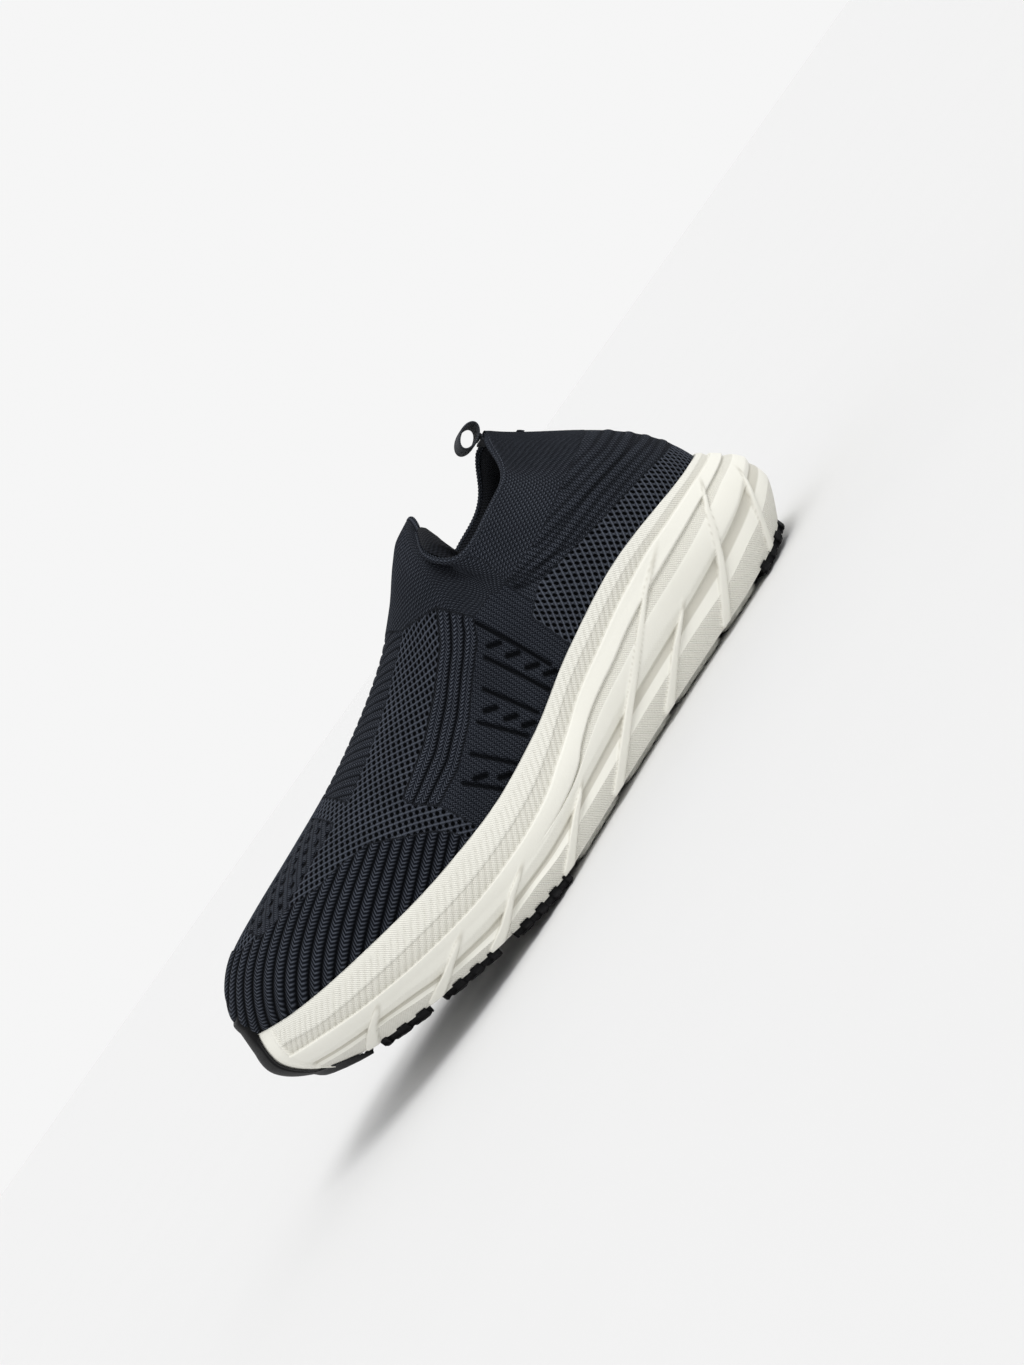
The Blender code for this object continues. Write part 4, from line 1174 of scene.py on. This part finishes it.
    def lay_panel(self, side_foot, side_front):
        """The plain panel under the side ribs, with its grooves and slanted marks."""
        s, z = self.s, self.z
        panel = zone(side_foot - z, side_front - s, s - PANEL_REAR)
        self.lay(panel, z / STITCH, s / FINE, 0.0, 0.75, 0.85, tone=0.95)
        for line in PANEL_GROOVES:
            self.press(line, panel, *GROOVE_CUT)
        for at, high in PANEL_MARKS:
            ends = [(at - MARK_REACH[0], high - MARK_REACH[1]), (at + MARK_REACH[0], high + MARK_REACH[1])]
            self.press(ends, panel, *MARK_CUT)

    def press(self, line, area, half, edge, depth, dark):
        """Sinks the knit along a side line, within an area, and paints shade into the groove."""
        cut = ramp(half - distance_to(self.s, self.z, line)[0], edge) * area
        self.height -= depth * cut
        self.open *= 1 - dark * cut


KNIT_HALF, KNIT_ROWS = 700, 170
KNIT_SPLITS = {"knit_heel": (0, 0.37), "knit_middle": (0.37, 0.70), "knit_toe": (0.70, 1.01)}
EDGE_FADE = 2.5  # millimetres next to the collar's edge over which the knit goes flat


def build_knit(look):
    """The knitted upper in three adjoining pieces, cut from one displaced grid."""
    upper = Upper(KNIT_HALF, KNIT_ROWS)
    upper.measure()
    knit = Knit(upper)
    knit.lay_all()
    on_collar = upper.place < 1
    fade = np.where(on_collar, ramp(upper.from_top - EDGE_FADE / 2, EDGE_FADE), 1)
    points = (upper.points + upper.normals * (knit.height * fade)[..., None]).reshape(-1, 3)
    normals = normals_of(points, [upper.faces])
    uv = pair(knit.run, knit.rib).reshape(-1, 2)
    # Paint: chevron strength, unshaded share (painted shade where low), mesh, and stitch brightness (partly
    # painted light).
    paint = np.stack([knit.chevron, knit.open, knit.mesh, knit.tone], axis=-1).reshape(-1, 4)
    for name, (low, high) in KNIT_SPLITS.items():
        part, faces, fields = cut_out(points, upper.columns(low, high), uv, paint, normals)
        settle(build(name, part, [faces], look, *fields), "root", "knit", "knit_upper")


# ---- Collar edge, linings and pads -------------------------------------------------------------------------

EDGE_CELLS = (840, 18)
BEAD_RADIUS = 1.2
BEAD_MIDDLE = (0.9, 0.95)  # how far inside and below the collar's line the roll's middle runs
BEAD_PITCH, BEAD_SWELL = 1.5, 0.11
TAB_PRESS = 1.0  # how far the pull loop's tape presses the edge down
TAB_PRESS_HALF, TAB_PRESS_EDGE = 8.5, 4  # half the width of that stretch, and how gradually it ends


def build_collar_edge(look):
    """The rolled, beaded edge of the knit round the foot opening."""
    count, sides = EDGE_CELLS
    line = along(whole_collar()[0], np.linspace(0, 1, count, endpoint=False))
    forward = unit(np.roll(line, -1, 0) - np.roll(line, 1, 0))
    inward = line.mean(axis=0) - line
    inward[:, 2] = 0
    side = unit(inward - forward * (inward * forward).sum(1)[:, None])
    up = np.cross(side, forward)
    up *= np.where(up[:, 2] > 0, 1, -1)[:, None]
    length = np.linalg.norm(line - np.roll(line, 1, 0), axis=1).sum()
    beads = round(length / BEAD_PITCH)
    turn = np.linspace(0, 2 * np.pi, sides, endpoint=False)
    place = np.arange(count) / count * beads
    at_heel = line[:, 0] < TAB_CENTRE[0] + 1
    pressed = TAB_PRESS * ramp(TAB_PRESS_HALF - np.abs(line[:, 1]), TAB_PRESS_EDGE) * at_heel
    rows = []
    for angle in turn:
        swell = BEAD_RADIUS * (1 + BEAD_SWELL * np.cos(2 * np.pi * (place + angle / 12)))
        across = np.cos(angle) * swell * 1.15 + BEAD_MIDDLE[0]
        climb = np.sin(angle) * swell - BEAD_MIDDLE[1] - pressed
        rows.append(line + side * across[:, None] + up * climb[:, None])
    points = np.array(rows)
    uv = pair(place, turn[:, None] * 6 / (2 * np.pi))
    paint = np.ones((sides, count, 4))
    paint[..., 2] = 0
    blocks = [ring_faces(sides, count)]
    settle(build("collar_edge", points, blocks, look, uv, paint), "root", "knit", "knit_upper")


LINING_DEPTHS = [(0, 5.5), (0.8, 5.5), (1.0, 3.6), (2, 3.5)]  # by place along collar and ridge
EDGE_DEPTH, EDGE_ROLL = 1.2, 2.2  # the lining's depth at the collar, and how soon it reaches its full depth
LINING_HALF, LINING_ROWS = 132, 40
LINING_FOOT = (5.3, 1.8)  # how far inside the feather line the linings end, and how far above the floor


def build_linings(look):
    """The padded quarter's lining and the vamp's, rolled in from the collar edge."""
    upper = Upper(LINING_HALF, LINING_ROWS)
    upper.measure()
    depth = line_at(LINING_DEPTHS, upper.place) * np.ones((LINING_ROWS, 1))
    rolled = EDGE_DEPTH + (depth - EDGE_DEPTH) * (1 - np.exp(-upper.from_top / EDGE_ROLL))
    depth = np.where(upper.place < 1, rolled, depth)
    points = (upper.points - upper.normals * depth[..., None]).reshape(-1, 3)
    uv = pair(upper.ring.run, upper.from_top).reshape(-1, 2)
    split = upper.front / upper.half
    for name, low, high in (("quarter_lining", 0, split), ("vamp_lining", split, 1.01)):
        part, faces, fields = cut_out(points, upper.columns(low, high)[:, ::-1], uv)
        settle(build(f"{name}_cloth", part, [faces], look, *fields), "root", "lining", name)
    build_lining_foot(upper.ring, points[: upper.count], look)


def build_lining_foot(ring, top, look):
    """The linings' lower edge, turned down inside the cup to the strobel board."""
    foot = ring.on_floor(smooth(FEATHER_INSET, ring.s) + LINING_FOOT[0], LINING_FOOT[1])
    rows = np.array([foot + (top - foot) * t for t in np.linspace(0, 1, 6)])
    faces = grid_faces(len(rows), ring.count)[:, ::-1]
    piece = build("lining_foot_cloth", rows, [faces], look, pair(ring.run, rows[..., 2]))
    settle(piece, "root", "lining", "quarter_lining", "vamp_lining")


PAD_HALF, PAD_GRID = 88, 20
PAD_COLUMNS, PAD_ROWS = (11, 6), (13, 17)  # of that grid: from the heel, short of the front, and up the side
PAD_DEPTHS = (2.3, 4.3)
PAD_VOXEL = 2.0
PAD_PRESSURE = 4
PAD_STEPS = 12
PAD_CAP = 0.6  # how far a point may move


def build_pads(look):
    """The two foam pads inside the collar, swollen by cloth simulation."""
    upper = Upper(PAD_HALF, PAD_GRID)
    for word, side in SIDES:
        column = np.arange(len(upper.faces)) % upper.count
        row = np.arange(len(upper.faces)) // upper.count
        share = column if side > 0 else upper.count - 1 - column
        reached = (share >= PAD_COLUMNS[0]) & (share < 2 * (upper.front // 2 - PAD_COLUMNS[1]))
        chosen = upper.faces[reached & (row >= PAD_ROWS[0]) & (row < PAD_ROWS[1])]
        outer, inner = ((upper.points - upper.normals * depth).reshape(-1, 3) for depth in PAD_DEPTHS)
        outer, faces, (inner,) = cut_out(outer, chosen, inner)
        points = np.concatenate([outer, inner])
        blocks = [faces, faces[:, ::-1] + len(outer), rim_band(faces, len(outer))]
        pad = build(f"collar_pad_{word}", points, blocks, look)
        puff_up(pad)
        settle(pad, "root", "pad_foam", f"collar_foam_{word}")


def rim_band(faces, count):
    """Quads that join the open edges of a patch to the same edges of its copy."""
    edges = {}
    for face in faces.tolist():
        for a, b in zip(face, face[1:] + face[:1]):
            edges[(a, b)] = True
    return np.array([(b, a, a + count, b + count) for a, b in edges if (b, a) not in edges])


def puff_up(pad):
    """Remeshes the pad, swells it with cloth pressure, and keeps each point near where it was."""
    bpy.context.view_layer.objects.active = pad
    remesh = pad.modifiers.new("remesh", "REMESH")
    remesh.mode = "VOXEL"
    remesh.voxel_size = PAD_VOXEL * MM
    bpy.ops.object.modifier_apply(modifier="remesh")
    before = np.array([v.co for v in pad.data.vertices])
    cloth = pad.modifiers.new("cloth", "CLOTH")
    cloth.settings.use_pressure = True
    cloth.settings.uniform_pressure_force = PAD_PRESSURE
    cloth.settings.effector_weights.gravity = 0
    for step in range(1, PAD_STEPS + 1):
        bpy.context.scene.frame_set(step)
    bpy.ops.object.modifier_apply(modifier="cloth")
    bpy.context.scene.frame_set(1)
    after = np.array([v.co for v in pad.data.vertices])
    move = after - before
    size = np.linalg.norm(move, axis=1, keepdims=True)
    move *= np.minimum(1, PAD_CAP * MM / np.maximum(size, 1e-9))
    pad.data.vertices.foreach_set("co", (before + move).astype(np.float32).ravel())
    pad.data.update()
    smoother = pad.modifiers.new("smooth", "SUBSURF")
    smoother.levels = smoother.render_levels = 1


# ---- Footbed, pull tab and stitching -----------------------------------------------------------------------

SOCKLINER_INSET = 9.5
FOOTBED_RINGS = 26
FOOTBED_MIDDLE = (52, 255)  # s of the ends of the footbed's middle line
BED_LEVELS = (1.9, 6.0)  # above the cup's floor
COVER_LEVELS = (6.15, 7.2)
DISH = 0.9
DISH_RIM = 0.22  # the share of the way in over which the dish falls from its rim


def footbed_rings(ring, low, high):
    """Rings of a footbed: under its edge, up its side and in over its dished top to the middle line."""
    base = smooth(FEATHER_INSET, ring.s) + SOCKLINER_INSET
    edge = ring.on_floor(base, high)
    side = ((0.4, low), (0, (low + high) / 2), (0.2, high))
    rings = [ring.on_floor(base + inset, height) for inset, height in side]
    for share in np.linspace(0.02, 0.97, FOOTBED_RINGS):
        inner = ring.inward(edge, share, *FOOTBED_MIDDLE)
        rise = DISH * np.exp(-((share / DISH_RIM) ** 2)) - DISH
        inner[:, 2] = smooth(FLOOR, inner[:, 0]) + high + rise
        rings.append(inner)
    return np.array(rings)


def build_footbed(foam, cloth):
    """The removable sockliner: a dished foam bed under its cloth cover."""
    ring = Ring(150)
    for name, (low, high), look, slot, node in (
        ("sockliner_bed", BED_LEVELS, foam, "sockliner_foam", "sockliner_foam"),
        ("sockliner_top", COVER_LEVELS, cloth, "sockliner_cloth", "sockliner_cover"),
    ):
        rings = footbed_rings(ring, low, high)
        blocks = closed_stack(ring, len(rings))
        settle(build(name, rings, blocks, look, rings[..., :2]), "sockliner", slot, node)


TAB_NECK = (55.9, 117.7, 119.2)  # s of the tape's foot and the heights that it spans, inside the rim


def build_pull_tab(look):
    """The webbing loop at the heel: a flat tape with rounded edges, bent into a ring."""
    around, across = 120, 22
    turn = np.linspace(0, 2 * np.pi, around, endpoint=False)
    rim = np.linspace(0, 2 * np.pi, 2 * across, endpoint=False)
    wide, thick = (
        np.sign(wave) * np.abs(wave) ** power * size / 2
        for wave, power, size in ((np.cos(rim), 0.35, TAB_WIDTH), (np.sin(rim), 0.6, WEBBING))
    )
    rows = []
    for y, t in zip(wide, thick):
        shrink = WEBBING / 2 - t
        x = (TAB_RADII[0] - shrink) * np.cos(turn)
        z = (TAB_RADII[1] - shrink) * np.sin(turn)
        s = TAB_CENTRE[0] + x * math.cos(TAB_TILT) - z * math.sin(TAB_TILT)
        h = TAB_CENTRE[1] + x * math.sin(TAB_TILT) + z * math.cos(TAB_TILT)
        rows.append(np.column_stack([s, np.full(around, y), h]))
    points = np.array(rows).reshape(-1, 3)
    uv = pair(turn * TAB_RADII[0], wide[:, None]).reshape(-1, 2)
    blocks = [ring_faces(2 * across, around)]
    heights = np.linspace(TAB_NECK[1], TAB_NECK[2], 7)
    neck = np.array([np.column_stack([TAB_NECK[0] + thick, wide, np.full(2 * across, z)]) for z in heights])
    blocks.append(grid_faces(len(heights), 2 * across) + len(points))
    neck_uv = pair(heights[:, None], neck[..., 1]).reshape(-1, 2)
    points, uv = np.concatenate([points, neck.reshape(-1, 3)]), np.concatenate([uv, neck_uv])
    settle(build("pull_tab_loop", points, blocks, look, uv), "pull_tab", "webbing", "pull_tab")


BARTACK_CORDS = (9, 8, 9)  # stitches, and each one's sides and rows
BARTACK_SINK = 0.5  # how far the thread pulls itself into the knit
BARTACK_BOW = 0.2  # how far a stitch's middle stands out from its ends
BARTACK_REACH = 0.9  # a stitch's length, as a share of the CAD bar's height


def build_bartack(look):
    """The bar of thread on the heel: a row of close stitches, each a small bent cord."""
    low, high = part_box("heel_bartack")
    middle = (low + high) / 2
    stitches, sides, length = BARTACK_CORDS
    tall = (high.z - low.z) / MM * BARTACK_REACH
    wide = (high.y - low.y) / MM
    lean = Vector((high.x - low.x, 0, high.z - low.z)).normalized()
    blocks, points = [], []
    for k in range(stitches):
        y = wide * ((k + 0.5) / stitches - 0.5)
        rows = []
        for t in np.linspace(-0.5, 0.5, length):
            bow = BARTACK_BOW * (1 - (2 * t) ** 2) - BARTACK_SINK
            centre = np.array([-bow + lean.x * tall * t, y, tall * t])
            turn = np.linspace(0, 2 * np.pi, sides, endpoint=False)
            radius = wide / stitches * 0.55
            circle = np.stack([np.cos(turn), np.sin(turn), np.zeros(sides)], axis=-1) * radius
            rows.append(centre + circle)
        first = k * sides * length
        blocks.append(grid_faces(length, sides, flip=False) + first)
        points.append(np.array(rows).reshape(-1, 3))
    points = np.concatenate(points) + (np.array(middle) / MM + [LENGTH / 2, MIDDLE_Y, 0])
    settle(build("heel_stitches", points, blocks, look), "root", "thread", "heel_bartack")


def dress_hidden_nodes():
    """Finishes for the CAD pieces that keep their own shape, nearly all of them inside."""
    stiff = plain_look("stiffener_board", (0.60, 0.58, 0.53), (0.74, 0.72, 0.68), 1.5, 0.1)
    board = plain_look("strobel_fibre", (0.018, 0.019, 0.022), (0.045, 0.046, 0.05), 0.8, 0.15, 0.95)
    seam = plain_look("seam_thread", (0.016, 0.017, 0.02), (0.05, 0.053, 0.06), 0.7, 0.2)
    tail = plain_look("tail_webbing", (0.008, 0.009, 0.012), (0.04, 0.045, 0.055), 0.6, 0.2)
    looks = {"heel_counter": stiff, "toe_puff": stiff, "strobel_board": board, "strobel_seam": seam,
             "pull_tab_tail": tail}
    for name, look in looks.items():
        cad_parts[name].material_slots[0].material = look


def main():
    """Builds the stage and every piece of the shoe."""
    add_camera()
    add_floor()
    add_light()
    build_midsole(foam_look())
    rubber = {
        "black": rubber_look("black_rubber", (0.002, 0.002, 0.0024), (0.009, 0.009, 0.01)),
        "white": rubber_look("white_rubber", (0.66, 0.66, 0.61), (0.78, 0.78, 0.73)),
    }
    build_toe_rubber(rubber["black"])
    build_pods(rubber)
    # The knit's first colour is painted shade for its grooves, gaps and holes; the last is the stitch crowns'
    # colour, a painted highlight.
    knit = knit_look("knit", (0.0004, 0.0006, 0.0012), (0.0066, 0.0082, 0.0135), (0.13, 0.146, 0.18))
    build_knit(knit)
    build_collar_edge(knit)
    build_linings(cloth_look("lining_cloth", (0.003, 0.0034, 0.0045), (0.016, 0.018, 0.024), 1.6))
    build_pads(plain_look("pad_foam", (0.42, 0.40, 0.33), (0.58, 0.56, 0.48), 0.9, 0.25, 0.95))
    foam = plain_look("sockliner_foam", (0.06, 0.065, 0.08), (0.13, 0.14, 0.16), 0.9, 0.2, 0.95)
    build_footbed(foam, cloth_look("sockliner_cloth", (0.008, 0.009, 0.012), (0.04, 0.044, 0.055), 1.0))
    build_pull_tab(webbing_look())
    build_bartack(plain_look("bartack_thread", (0.012, 0.014, 0.018), (0.06, 0.065, 0.08), 0.3, 0.1))
    dress_hidden_nodes()


main()
bpy.context.view_layer.update()
